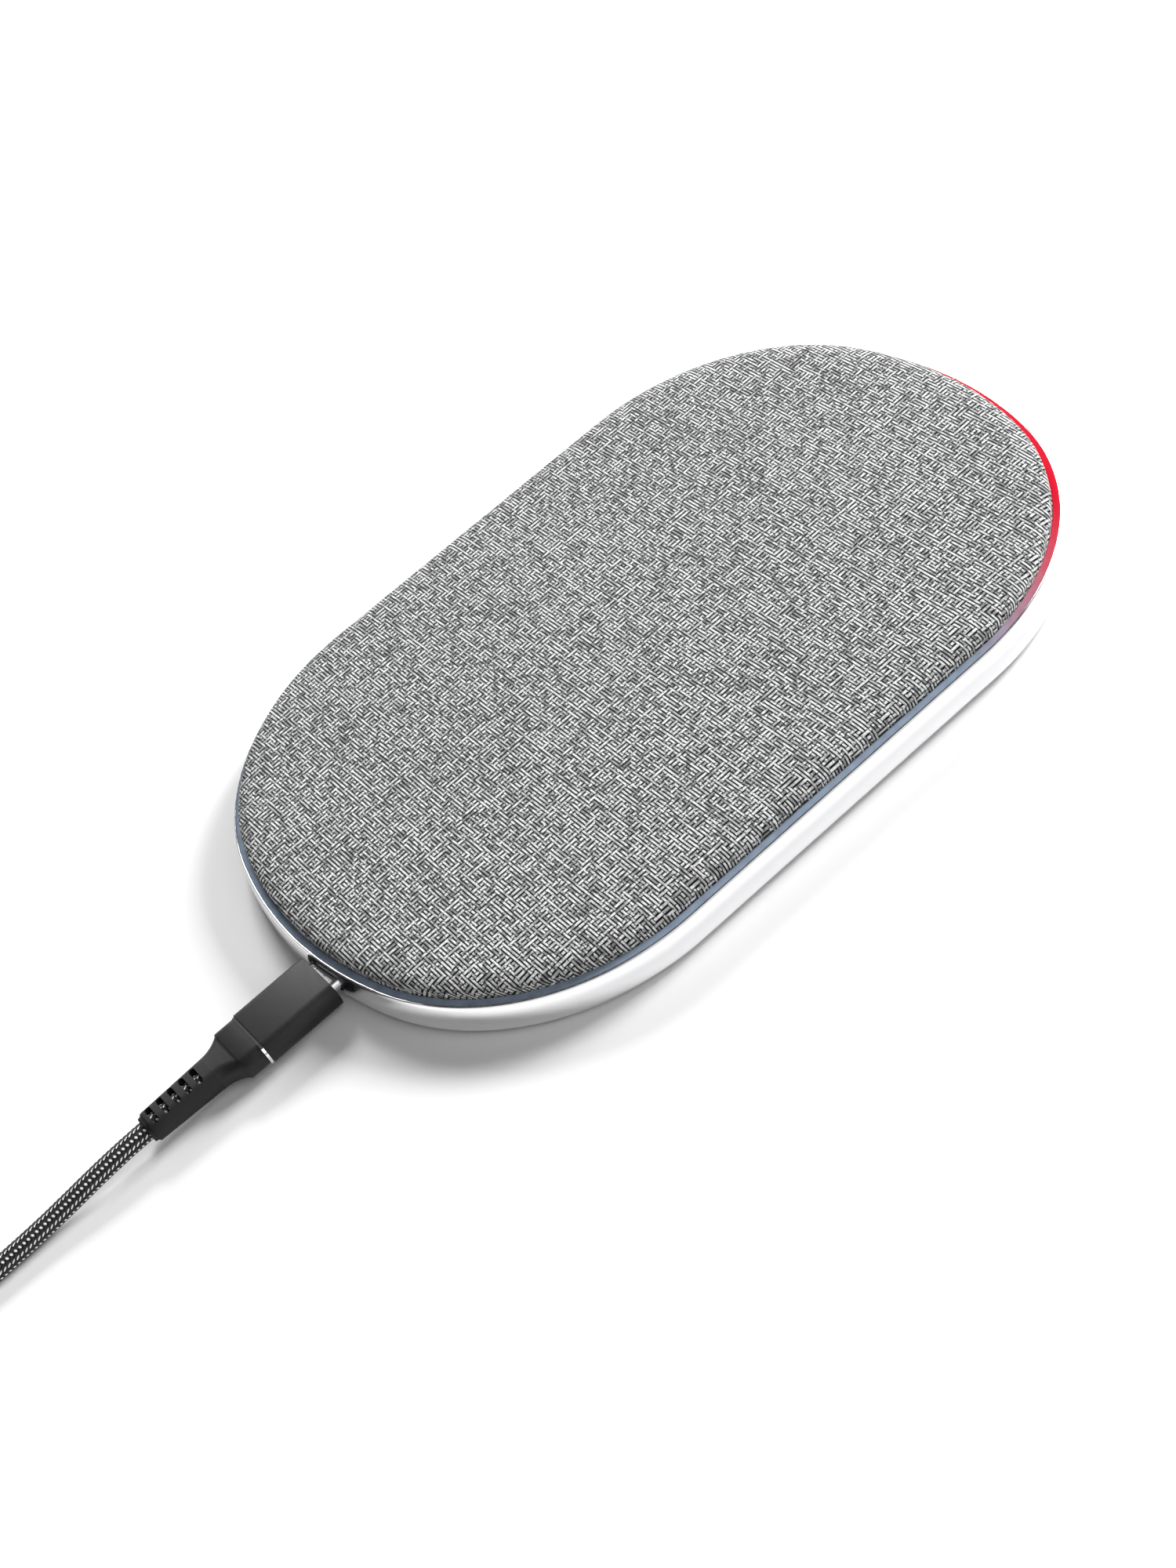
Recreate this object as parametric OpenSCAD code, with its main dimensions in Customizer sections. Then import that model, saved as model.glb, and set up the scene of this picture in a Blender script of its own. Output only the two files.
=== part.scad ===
// Two-place wireless charging pad with a fabric top, an aluminium rim, a light ring
// and a plug-in USB-C cable. Millimetres, +Z up. The origin is at the bottom centre
// of the pad, on the surface that it stands on. The long axis is X, and the cable
// leaves at the -X end.

/* [Pad] */
// Length of the pad over the rim
pad_length = 170; // [150:1:210]
// Width of the pad over the rim
pad_width = 118; // [106:1:136]
// How far each end bows out past its corner arcs
end_bow = 1.5; // [1:0.1:2.5]

/* [Heights] */
// How far the feet lift the pad
foot_lift = 0.8; // [0.6:0.1:1.2]
// Height of the rim's top edge above the feet
rim_top = 7.1; // [7.1:0.1:8.2]
// Height of the fabric's flat face above the feet
fabric_top = 10; // [10:0.1:12]

/* [Shell] */
// Wall of the aluminium rim
rim_wall = 1.8; // [1.5:0.1:2.4]
// How far the rim's top edge leans inward
rim_lean = 0.85; // [0.5:0.05:1]
// Width of the light ring's visible face
light_width = 1.2; // [0.9:0.1:1.6]
// Thickness of the fabric
fabric_thickness = 0.6; // [0.4:0.1:0.8]
// Radius of the fabric's rounded edge
fabric_round = 2; // [1.5:0.1:2.6]
// Thickness of the moulded top plate
plate_wall = 1.4; // [1:0.1:1.6]
// Thickness of the base plate's floor
base_floor = 1.4; // [1.2:0.1:1.6]
// Thickness of the base plate's wall
base_wall = 1.2; // [1:0.1:1.6]

/* [Charging coils] */
// Distance between the two coil centres
coil_spacing = 88; // [80:1:96]
// Outer radius of a coil winding
coil_outer = 23; // [20:0.5:24]
// Inner radius of a coil winding
coil_inner = 10; // [8:0.5:13]
// Turns in each coil
coil_turns = 11; // [8:1:14]
// Side of the square ferrite tile
ferrite_side = 48; // [48:1:52]
// Thickness of the ferrite tile
ferrite_thickness = 0.8; // [0.6:0.1:1]

/* [Boards] */
// Length of the main board along X
board_length = 34; // [28:1:36]
// Width of the main board along Y
board_width = 76; // [60:1:80]
// Thickness of the boards
board_thickness = 1; // [0.8:0.1:1.2]

/* [Fasteners and feet] */
// Diameter of the case screws
screw_diameter = 2; // [1.8:0.1:2.4]
// Diameter of the case screw heads
screw_head = 3.8; // [3.4:0.1:4.2]
// Diameter of the rubber feet
foot_diameter = 12; // [10:1:16]

/* [Cable] */
// Sideways place of the socket, measured from the long axis
port_y = -9.5; // [-12:0.5:12]
// Height of the socket's centre above the feet
port_z = 3.9; // [3.7:0.1:4.2]
// Width of the cable's USB-C housing
plug_width = 13; // [12:0.1:14]
// Thickness of the cable's USB-C housing
plug_thickness = 5.2; // [5:0.1:5.8]
// Length of the front part of the USB-C housing
plug_length = 16; // [14:0.5:22]
// Length of the slotted strain relief
relief_length = 15; // [12:1:20]
// Diameter of the braided cord
cord_diameter = 3.8; // [3.4:0.1:3.8]

/* [Hidden] */
$fn = 96;
slip = 0.1; // gap between pieces that slide together
fit_gap = 0.05; // gap round a screw or a cord in its hole
over = 1; // how far a cutter runs past what it cuts

// outline of the pad: straight sides, an arc at each corner, and a larger arc across each
// end. A corner arc runs into an end arc where their common normal points along SEAM.
SEAM = [0.96, 0.28];
centre_distance = end_bow / (1 - SEAM[0]);
corner_y = SEAM[1] * centre_distance;
corner_radius = pad_width / 2 - corner_y;
corner_x = pad_length / 2 - corner_radius - end_bow;
end_x = corner_x - SEAM[0] * centre_distance;
end_radius = corner_radius + centre_distance;
sector_reach = 200;

// x of the outline at an inset and a distance from the long axis
function edge_x(inset, y) =
    let (end_arc = end_radius - inset)
    let (corner_arc = corner_radius - inset)
    y < SEAM[1] * end_arc
        ? end_x + sqrt(pow(end_arc, 2) - pow(y, 2))
        : corner_x + sqrt(pow(corner_arc, 2) - pow(y - corner_y, 2));

// rim
rim_bottom_round = 1;
rim_side_start = foot_lift + rim_bottom_round;
rim_side_rise = rim_top - rim_side_start;
rim_side_radius = (pow(rim_side_rise, 2) + pow(rim_lean, 2)) / (2 * rim_lean);
rim_top_land = 0.35;
ledge_thickness = 0.8;
ledge_top = rim_top - 1.7;
ledge_bottom = ledge_top - ledge_thickness;
ledge_in = rim_wall + 1.2;

// light ring
light_out = rim_lean + rim_top_land + fit_gap;
light_in = light_out + light_width;
light_flange = 0.8;
light_flange_in = light_in + 2;
light_rise = 0.2;

// fabric and top plate
fabric_out = light_in + slip;
fabric_bottom = ledge_top + light_flange;
plate_out = fabric_out + fabric_thickness;
plate_top = fabric_top - fabric_thickness;
plate_bottom = fabric_bottom + fabric_thickness;
plate_round = fabric_round - fabric_thickness;
plate_skirt = 1.9;
skirt_in = plate_out + plate_skirt;
plate_under = plate_top - plate_wall;
flat_in = fabric_out + fabric_round + 0.3;

// base plate
base_out = rim_wall + 0.2;
base_in = base_out + base_wall;
base_top = foot_lift + base_floor;

// coils and what carries them
coil_height = 1.2;
coil_top = plate_under - slip;
coil_bottom = coil_top - coil_height;
ferrite_bottom = coil_bottom - ferrite_thickness;
pad_sheet = 0.4;
sheet_bottom = ferrite_bottom - pad_sheet;
tray_thickness = 1;
tray_bottom = sheet_bottom - tray_thickness;
tray_side = ferrite_side + 4;
tray_wall = 1.4;
tray_leg = 4;
lead_diameter = 1;

// light boards, inside the light ring's flange
light_board_y = 22;
light_board_depth = 2.6;
light_board_thick = 0.5;
light_board_z = ledge_top + 0.2;
light_board_inset = light_flange_in + 0.2;
light_post_width = 2;

// boards
board_rise = 1;
board_bottom = base_top + board_rise;
board_top = board_bottom + board_thickness;
board_post = 5;
post_x = board_length / 2 - 4;
post_y = board_width / 2 - 4;
board_screw = 1.6;
board_screw_head = 3;

// socket and plug, after the USB-C standard's sizes
shell_width = 8.25;
shell_height = 2.4;
shell_length = 6.65;
socket_wall = 0.28;
socket_width = shell_width + 2 * (slip + socket_wall);
socket_height = shell_height + 2 * (slip + socket_wall);
socket_length = 7.6;
socket_floor = 0.8;
tongue_width = 6.69;
tongue_height = 0.7;
tongue_length = 4.4;
port_gap = 0.25;
socket_front = edge_x(0, abs(port_y) + socket_width / 2) - port_gap;
socket_back = socket_front - socket_length;
plug_stand_off = 0.3;
plug_near_side = max(0, abs(port_y) - plug_width / 2);
plug_face = edge_x(0, plug_near_side) + plug_stand_off;
usb_board_width = 16;
usb_board_reach = abs(port_y) + usb_board_width / 2;
usb_board_front = edge_x(base_in, usb_board_reach) - 0.5;
usb_board_length = usb_board_front - coil_spacing / 2 - tray_side / 2 - 0.5;
usb_board_bottom = port_z - board_thickness / 2;
usb_cradle_length = 3;
light_post_y = usb_board_reach + 0.5 + light_post_width / 2;

// cable pieces behind the USB-C housing
plug_edge = 2.3;
seam_length = 0.5;
rear_length = 4.2;
taper_length = 4.45;
relief_width = 7.4;
relief_thick = 5;
relief_edge = 2.3;
relief_windows = 5;
window_length = 1.1;
window_width = 4.4;
window_pitch = 2.5;
window_first = 2.6;
seam_back = plug_face + plug_length + seam_length;
rear_back = seam_back + rear_length;
taper_back = rear_back + taper_length;

// screws and feet
head_height = 1;
screw_boss = 5.4;
screw_reach = 5;
head_floor = foot_lift + 0.2 + head_height;
screw_x = pad_length / 2 - 28;
screw_y = pad_width / 2 - 18;
screw_mid_y = pad_width / 2 - 9;
SCREW_PLACES = [
    [-screw_x, -screw_y], [screw_x, -screw_y],
    [-screw_x, screw_y], [screw_x, screw_y],
    [0, -screw_mid_y], [0, screw_mid_y]
];
foot_recess = 0.5;
foot_x = pad_length / 2 - 38;
foot_y = pad_width / 2 - 16;

// cord: its middle line along the stretch that isn't coiled, then the coil and the tail
CORD_ROUTE = [
    [-110.4, -9.5, 3.9], [-118, -9.5, 3.9], [-126, -9.5, 3.9], [-131, -9.5, 3.8],
    [-137, -9.5, 3.4], [-143, -9.5, 2.8], [-149, -9.5, 2.3], [-156, -9.5, 2],
    [-163, -9.5, 1.9], [-170, -9.5, 2], [-177, -9.5, 2.2]
];
TAIL_ROUTE = [
    [-214, 37, 5.8], [-211, 42, 5], [-207, 47, 4.3], [-202, 51, 3.9],
    [-196, 54, 3.8], [-191, 55, 4], [-186, 55, 4]
];
coil_x = -192;
coil_y = 18;
ring_inside = 14.4;
ring_outside = 29.4;
ring_bottom = 0.6;
ring_top = 8;
tie_thickness = 0.5;
tie_width = 9;
tie_angle = 15;
tie_inside = sqrt(pow(ring_inside, 2) - pow(tie_width / 2, 2)) - slip;
tie_outside = ring_outside + slip;

// USB-A plug at the far end
usb_a_start = -186;
usb_a_y = 55;
usb_a_z = 4;
usb_a_relief = 12;
usb_a_housing_length = 24;
usb_a_housing_width = 15.6;
usb_a_housing_thick = 7.8;
usb_a_shell_length = 12;
usb_a_shell_width = 12;
usb_a_shell_thick = 4.5;
usb_a_wall = 0.3;
usb_a_box = usb_a_start + usb_a_relief;
usb_a_nose = usb_a_box + usb_a_housing_length;

// ---------- shapes shared by the sub-parts ----------

// the wedge between two directions out of a centre
module sector(centre, from, to) {
    polygon([centre, centre + sector_reach * from, centre + sector_reach * to]);
}

module corner_sector() {
    sector([corner_x, corner_y], SEAM, [0, 1]);
}

module end_sector() {
    sector([end_x, 0], [1, 0], SEAM);
}

// the pad's outline, inset from the rim's outer face
module plan(inset) {
    for (x = [0, 1], y = [0, 1]) {
        mirror([x, 0]) mirror([0, y]) {
            square([corner_x, pad_width / 2 - inset]);
            intersection() {
                translate([corner_x, corner_y]) circle(corner_radius - inset, $fn = 180);
                corner_sector();
            }
            intersection() {
                translate([end_x, 0]) circle(end_radius - inset, $fn = 180);
                end_sector();
            }
        }
    }
}

module slab(inset, bottom, top) {
    translate([0, 0, bottom]) linear_extrude(top - bottom) plan(inset);
}

// sweeps a section round a quarter of the outline: the section's x is the distance
// outward from the rim's outer face, and its y is the height
module round_a_quarter() {
    intersection() {
        translate([corner_x, corner_y, 0])
            rotate_extrude($fn = 180)
                translate([corner_radius, 0]) children();
        translate([0, 0, -over]) linear_extrude(fabric_top + 2 * over) corner_sector();
    }
    intersection() {
        translate([end_x, 0, 0])
            rotate_extrude($fn = 180)
                translate([end_radius, 0]) children();
        translate([0, 0, -over]) linear_extrude(fabric_top + 2 * over) end_sector();
    }
    translate([0, pad_width / 2, 0])
        rotate([90, 0, 90])
            linear_extrude(corner_x) children();
}

module round_the_pad() {
    for (x = [0, 1], y = [0, 1]) {
        mirror([x, 0, 0]) mirror([0, y, 0]) round_a_quarter() children();
    }
}

// a section's block between two insets and two heights
module block(outer, inner, bottom, top) {
    translate([-inner, bottom]) square([inner - outer, top - bottom]);
}

// a block whose upper outer corner is rounded
module pillow(outer, inner, bottom, top, radius) {
    block(outer + radius, inner, bottom, top);
    intersection() {
        translate([-outer - radius, top - radius]) circle(radius);
        block(outer, outer + radius, bottom, top);
    }
    if (bottom < top - radius) block(outer, outer + radius, bottom, top - radius);
}

// a flat oval: width along x, height along y
module oval(width, height, radius) {
    square([width - 2 * radius, height], center = true);
    square([width, height - 2 * radius], center = true);
    for (x = [-1, 1], y = [-1, 1]) {
        translate([x * (width / 2 - radius), y * (height / 2 - radius)]) circle(radius);
    }
}

// a bar of oval section that runs along -X from a given distance
module bar_to_minus_x(start, length, y, z) {
    translate([-start, y, z]) rotate([90, 0, -90]) linear_extrude(length) children();
}

module bar_to_plus_x(start, length, y, z) {
    translate([start, y, z]) rotate([90, 0, 90]) linear_extrude(length) children();
}

// opening for the socket, wider than it all round by a gap
module port_opening(gap) {
    width = socket_width + 2 * gap;
    height = socket_height + 2 * gap;
    bar_to_minus_x(socket_back - over, 20, port_y, port_z)
        oval(width, height, height / 2 - 0.01);
}

module at_screws() {
    for (place = SCREW_PLACES) {
        translate([place[0], place[1], 0]) children();
    }
}

// ---------- the pad's shell ----------

module fabric_section() {
    difference() {
        pillow(fabric_out, flat_in + 1, fabric_bottom, fabric_top, fabric_round);
        pillow(plate_out, flat_in + 2, plate_bottom, plate_top, plate_round);
        block(skirt_in, flat_in + 2, fabric_bottom - over, plate_bottom + 0.01);
    }
}

module fabric_cover() {
    color([0.55, 0.55, 0.54]) {
        round_the_pad() fabric_section();
        slab(flat_in, plate_top, fabric_top);
    }
}

module plate_section() {
    difference() {
        pillow(plate_out, flat_in + 1, plate_bottom, plate_top, plate_round);
        block(skirt_in, flat_in + 2, plate_bottom - over, plate_under);
    }
}

module top_plate() {
    color([0.16, 0.16, 0.17])
    difference() {
        union() {
            round_the_pad() plate_section();
            slab(flat_in, plate_under, plate_top);
            at_screws() boss();
        }
        at_screws() pilot();
    }
}

// a screw boss that stands on the base plate's own boss
module boss() {
    bottom = head_floor + 1;
    translate([0, 0, bottom]) cylinder(d = screw_boss, h = plate_under - bottom + 0.5);
}

module pilot() {
    bottom = head_floor + 1;
    translate([0, 0, bottom - over])
        cylinder(d = screw_diameter + 2 * fit_gap, h = screw_reach + over);
}

module light_section() {
    polygon([
        [-light_out, ledge_top],
        [-light_out, rim_top],
        [-light_in, rim_top + light_rise],
        [-light_in, fabric_bottom],
        [-light_flange_in, fabric_bottom],
        [-light_flange_in, ledge_top]
    ]);
}

module light_ring() {
    color([0.62, 0.70, 0.78])
    difference() {
        round_the_pad() light_section();
        port_opening(port_gap);
    }
}

module rim_section() {
    difference() {
        union() {
            intersection() {
                translate([-rim_side_radius, rim_side_start]) circle(rim_side_radius, $fn = 360);
                block(0, rim_wall, rim_side_start, rim_top);
            }
            block(rim_bottom_round, rim_wall, foot_lift, rim_side_start);
            intersection() {
                translate([-rim_bottom_round, rim_side_start]) circle(rim_bottom_round);
                block(0, rim_bottom_round, foot_lift, rim_side_start);
            }
            block(rim_wall, ledge_in, ledge_bottom, ledge_top);
        }
        block(rim_lean + rim_top_land, ledge_in + over, ledge_top, rim_top + over);
    }
}

module rim_frame() {
    color([0.86, 0.87, 0.88])
    difference() {
        round_the_pad() rim_section();
        port_opening(port_gap);
    }
}

module base_section() {
    block(base_out, base_in, foot_lift, ledge_bottom);
}

module base_plate() {
    color([0.12, 0.12, 0.13])
    difference() {
        union() {
            round_the_pad() base_section();
            slab(base_in - 0.5, foot_lift, base_top);
            at_screws() screw_post();
            board_posts();
            light_posts();
            usb_cradle();
        }
        at_screws() screw_hole();
        at_feet() translate([0, 0, foot_lift - over])
            cylinder(d = foot_diameter + slip, h = foot_recess + over);
        board_pilots();
        port_opening(port_gap);
    }
}

// the base plate's post for a case screw, and the stepped hole through it
module screw_post() {
    translate([0, 0, foot_lift]) cylinder(d = screw_boss, h = head_floor + 1 - foot_lift);
}

module screw_hole() {
    translate([0, 0, foot_lift - over])
        cylinder(d = screw_head + 0.4, h = head_floor - foot_lift + over);
    cylinder(d = screw_diameter + 0.4, h = head_floor + 2);
}

module board_posts() {
    for (x = [-1, 1], y = [-1, 1]) {
        translate([x * post_x, y * post_y, base_top - 0.5])
            cylinder(d = board_post, h = board_rise + 0.5);
    }
}

// two posts under each light board
module light_posts() {
    x = edge_x(light_board_inset, light_post_y + light_post_width / 2) - light_board_depth;
    for (side = [-1, 1], y = [-light_post_y, light_post_y]) {
        translate([side * x - light_post_width / 2, y - light_post_width / 2, base_top - 0.5])
            cube([light_post_width, light_post_width, light_board_z - base_top + 0.5]);
    }
}

// a block under the inner end of the socket's board
module usb_cradle() {
    translate([-usb_board_front + usb_board_length - usb_cradle_length,
               port_y - usb_board_width / 2, base_top - 0.5])
        cube([usb_cradle_length, usb_board_width, usb_board_bottom - base_top + 0.5]);
}

module board_pilots() {
    for (x = [-1, 1], y = [-1, 1]) {
        translate([x * post_x, y * post_y, base_top - 0.6])
            cylinder(d = board_screw + 2 * fit_gap, h = board_rise + over);
    }
}

module foot() {
    chamfer = 0.4;
    cylinder(d1 = foot_diameter - 2 * chamfer, d2 = foot_diameter, h = chamfer);
    translate([0, 0, chamfer])
        cylinder(d = foot_diameter, h = foot_lift + foot_recess - chamfer);
}

module at_feet() {
    for (x = [-1, 1], y = [-1, 1]) {
        translate([x * foot_x, y * foot_y, 0]) children();
    }
}

module foot_at(x, y) {
    color([0.08, 0.08, 0.08]) translate([x * foot_x, y * foot_y, 0]) foot();
}

// ---------- charging coils ----------

// flat spiral winding: each turn is a ridge on the winding's top face
module coil_section() {
    pitch = (coil_outer - coil_inner) / coil_turns;
    ridge = 0.25;
    polygon(concat(
        [[coil_inner, 0]],
        [for (turn = [0:coil_turns - 1], part = [0, 1])
            [coil_inner + (turn + part / 2) * pitch, coil_height - ridge * (1 - part)]],
        [[coil_outer, coil_height - ridge], [coil_outer, 0]]
    ));
}

module coil_at(side) {
    color([0.72, 0.38, 0.18])
        translate([side * coil_spacing / 2, 0, coil_bottom])
            rotate_extrude($fn = 180) coil_section();
}

module ferrite_at(side) {
    color([0.20, 0.20, 0.22])
        translate([side * coil_spacing / 2, 0, (ferrite_bottom + coil_bottom) / 2])
            cube([ferrite_side, ferrite_side, ferrite_thickness], center = true);
}

module thermal_sheet_at(side) {
    sheet_side = ferrite_side - 4;
    color([0.75, 0.77, 0.80])
        translate([side * coil_spacing / 2, 0, (sheet_bottom + ferrite_bottom) / 2])
            cube([sheet_side, sheet_side, pad_sheet], center = true);
}

// a moulded tray with a low wall round the ferrite and four legs on the base plate
module coil_tray_at(side) {
    color([0.85, 0.85, 0.82])
    translate([side * coil_spacing / 2, 0, 0])
    difference() {
        union() {
            translate([-tray_side / 2, -tray_side / 2, tray_bottom])
                cube([tray_side, tray_side, ferrite_bottom + 0.4 - tray_bottom]);
            for (x = [-1, 1], y = [-1, 1]) {
                translate([x * (tray_side / 2 - 4), y * (tray_side / 2 - 4), base_top])
                    cylinder(d = tray_leg, h = tray_bottom - base_top + 0.5);
            }
        }
        pocket = tray_side - 2 * tray_wall;
        translate([-pocket / 2, -pocket / 2, sheet_bottom]) cube([pocket, pocket, 5]);
        translate([0, 0, tray_bottom - over]) cylinder(r = coil_inner, h = 5);
    }
}

// the two ends of a winding, led from its rim to the main board
module coil_leads_at(side) {
    start = coil_spacing / 2 - coil_outer - 0.6;
    end = board_length / 2 - 3;
    color([0.70, 0.36, 0.16])
    for (y = [-5, 5]) {
        translate([side * start, y, coil_bottom + lead_diameter / 2])
            rotate([0, -side * 90, 0]) cylinder(d = lead_diameter, h = start - end, $fn = 24);
        translate([side * end, y, board_top])
            cylinder(d = lead_diameter, h = coil_bottom - board_top + lead_diameter, $fn = 24);
    }
}

// temperature sensors in the middle of each coil
module coil_sensors() {
    color([0.10, 0.10, 0.12])
    for (side = [-1, 1]) {
        translate([side * coil_spacing / 2, 0, coil_bottom]) cylinder(d = 3, h = 1);
    }
}

// ---------- boards ----------

module main_board() {
    color([0.05, 0.28, 0.16])
    difference() {
        translate([-board_length / 2, -board_width / 2, board_bottom])
            cube([board_length, board_width, board_thickness]);
        for (x = [-1, 1], y = [-1, 1]) {
            translate([x * post_x, y * post_y, board_bottom - over])
                cylinder(d = board_screw + 0.4, h = board_thickness + 2 * over);
        }
    }
}

module on_board(x, y, size) {
    translate([x - size[0] / 2, y - size[1] / 2, board_top]) cube(size);
}

module charge_controllers() {
    color([0.10, 0.10, 0.11])
    for (y = [-14, 14]) {
        on_board(0, y, [7, 7, 0.9]);
    }
}

module power_drivers() {
    color([0.12, 0.12, 0.13])
    for (x = [-9, 9], y = [-24, -15, 15, 24]) {
        on_board(x, y, [5, 6, 1]);
    }
}

module power_inductors() {
    color([0.30, 0.30, 0.32])
    for (y = [-26, 26]) {
        on_board(0, y, [7, 7, 2.4]);
    }
}

module tuning_capacitors() {
    color([0.72, 0.58, 0.36])
    for (x = [-12, -8, -4, 0, 4, 8, 12]) {
        on_board(x, 0, [2.6, 3.2, 1.6]);
    }
}

// a narrow curved board under the light ring at one end, with its row of lights
module light_board_at(side) {
    color([0.88, 0.88, 0.84])
    intersection() {
        translate([side * end_x, 0, light_board_z])
        difference() {
            outer_arc = end_radius - light_board_inset;
            cylinder(r = outer_arc, h = light_board_thick, $fn = 180);
            translate([0, 0, -over])
                cylinder(r = outer_arc - light_board_depth, h = light_board_thick + 2 * over, $fn = 180);
        }
        translate([side > 0 ? 0 : -pad_length, -light_board_y, 0])
            cube([pad_length, 2 * light_board_y, fabric_top]);
    }
}

module lights_at(side) {
    middle_inset = light_board_inset + light_board_depth / 2;
    color([0.95, 0.90, 0.70])
    for (y = [-15, -9, -3, 3, 9, 15]) {
        translate([side * edge_x(middle_inset, abs(y)), y, light_board_z + light_board_thick + 0.3])
            cube([1.2, 1.6, 0.6], center = true);
    }
}

// ---------- socket ----------

module usb_board() {
    color([0.05, 0.28, 0.16])
    difference() {
        translate([-usb_board_front, port_y - usb_board_width / 2, usb_board_bottom])
            cube([usb_board_length, usb_board_width, board_thickness]);
        bar_to_minus_x(socket_back, 20, port_y, port_z)
            oval(socket_width + slip, socket_height + slip, socket_height / 2);
    }
}

module usb_socket_shell() {
    color([0.78, 0.79, 0.80])
    difference() {
        bar_to_minus_x(socket_back, socket_length, port_y, port_z)
            oval(socket_width, socket_height, socket_height / 2 - 0.01);
        bar_to_minus_x(socket_back + socket_floor, socket_length, port_y, port_z)
            oval(shell_width + 2 * slip, shell_height + 2 * slip, shell_height / 2 + slip - 0.01);
    }
}

module usb_socket_tongue() {
    color([0.10, 0.10, 0.11])
        translate([-socket_back - socket_floor - tongue_length,
                   port_y - tongue_width / 2, port_z - tongue_height / 2])
            cube([tongue_length, tongue_width, tongue_height]);
}

// two wires that carry power from the socket's board to the main board
module power_wires() {
    start = usb_board_front - usb_board_length;
    end = board_length / 2;
    wire_z = board_top - 0.5;
    color([0.60, 0.10, 0.10])
    for (shift = [-1.2, 1.2]) {
        translate([-start, port_y + shift, wire_z])
            rotate([0, 90, 0]) cylinder(d = 1.2, h = start - end, $fn = 24);
    }
}

// ---------- fasteners ----------

module case_screws() {
    color([0.35, 0.35, 0.37])
    at_screws() {
        difference() {
            union() {
                translate([0, 0, head_floor - head_height]) cylinder(d = screw_head, h = head_height);
                translate([0, 0, head_floor]) cylinder(d = screw_diameter, h = screw_reach - 0.2);
            }
            drive(head_floor - head_height - over, over + 0.6);
        }
    }
}

module drive(bottom, depth) {
    for (turn = [0, 90]) {
        rotate([0, 0, turn])
            translate([-1, -0.25, bottom]) cube([2, 0.5, depth]);
    }
}

module board_screws() {
    color([0.70, 0.70, 0.72])
    for (x = [-1, 1], y = [-1, 1]) {
        translate([x * post_x, y * post_y, 0])
        difference() {
            union() {
                translate([0, 0, board_top]) cylinder(d = board_screw_head, h = 0.8);
                translate([0, 0, base_top - 0.5]) cylinder(d = board_screw, h = board_top - base_top + 0.5);
            }
            drive(board_top + 0.4, over);
        }
    }
}

// ---------- cable ----------

module usb_c_shell() {
    color([0.80, 0.81, 0.82])
    difference() {
        bar_to_minus_x(plug_face - shell_length, shell_length, port_y, port_z)
            oval(shell_width, shell_height, shell_height / 2 - 0.01);
        bar_to_minus_x(plug_face - shell_length - over, shell_length, port_y, port_z)
            oval(tongue_width + 0.3, tongue_height + 0.3, 0.3);
    }
}

module usb_c_housing() {
    color([0.15, 0.15, 0.16])
        bar_to_minus_x(plug_face, plug_length, port_y, port_z)
            oval(plug_width, plug_thickness, plug_edge);
}

module usb_c_seam_ring() {
    color([0.80, 0.80, 0.82])
        bar_to_minus_x(plug_face + plug_length, seam_length, port_y, port_z)
            oval(plug_width, plug_thickness, plug_edge);
}

// the housing's back part: a short oval, then a taper down to the strain relief
module usb_c_rear_housing() {
    rear_width = plug_width - 1;
    rear_thickness = plug_thickness - 0.1;
    color([0.15, 0.15, 0.16]) {
        bar_to_minus_x(seam_back, rear_length, port_y, port_z)
            oval(rear_width, rear_thickness, plug_edge);
        hull() {
            bar_to_minus_x(rear_back - 0.1, 0.1, port_y, port_z)
                oval(rear_width - 0.4, rear_thickness - 0.2, plug_edge - 0.1, $fn = 32);
            bar_to_minus_x(taper_back - 0.1, 0.1, port_y, port_z)
                oval(relief_width - 0.2, relief_thick - 0.2, relief_edge - 0.1, $fn = 32);
        }
    }
}

// a flat oval sleeve with a bore for the cord and crosswise windows on both faces
module strain_relief() {
    relief_back = taper_back + relief_length;
    color([0.13, 0.13, 0.14])
    difference() {
        bar_to_minus_x(taper_back, relief_length, port_y, port_z)
            oval(relief_width, relief_thick, relief_edge);
        translate([-relief_back - over, port_y, port_z])
            rotate([0, 90, 0]) cylinder(d = cord_diameter + 2 * fit_gap, h = relief_length + 2 * over);
        for (number = [0:relief_windows - 1]) {
            window = taper_back + window_first + number * window_pitch;
            translate([-window - window_length / 2, port_y - window_width / 2, 0])
                cube([window_length, window_width, 2 * port_z]);
        }
    }
}

// a ring of points square to the path at one of its points
function subtract(a, b) = [a[0] - b[0], a[1] - b[1], a[2] - b[2]];
function heading(path, i) =
    subtract(path[min(i + 1, len(path) - 1)], path[max(i - 1, 0)]);
function unit(v) = v / norm(v);
function ring_at(path, i, radius, sides) =
    let (ahead = unit(heading(path, i)))
    let (across = unit(cross([0, 0, 1], ahead)))
    let (up = cross(ahead, across))
    [for (k = [0:sides - 1])
        path[i]
        + radius * cos((k + 0.5) * 360 / sides) * across
        + radius * sin((k + 0.5) * 360 / sides) * up];

// a tube swept along a path, closed at both ends
module tube(path, diameter, sides) {
    rings = len(path);
    points = [for (i = [0:rings - 1]) each ring_at(path, i, diameter / 2, sides)];
    walls = [for (i = [0:rings - 2], k = [0:sides - 1])
        [i * sides + k, i * sides + (k + 1) % sides,
         (i + 1) * sides + (k + 1) % sides, (i + 1) * sides + k]];
    front = [for (k = [sides - 1:-1:0]) k];
    back = [for (k = [0:sides - 1]) (rings - 1) * sides + k];
    polyhedron(points = points, faces = concat(walls, [front, back]));
}

module cord() {
    color([0.14, 0.14, 0.15]) tube(CORD_ROUTE, cord_diameter, 8);
}

module cord_tail() {
    color([0.14, 0.14, 0.15]) tube(TAIL_ROUTE, cord_diameter, 8);
}

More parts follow.
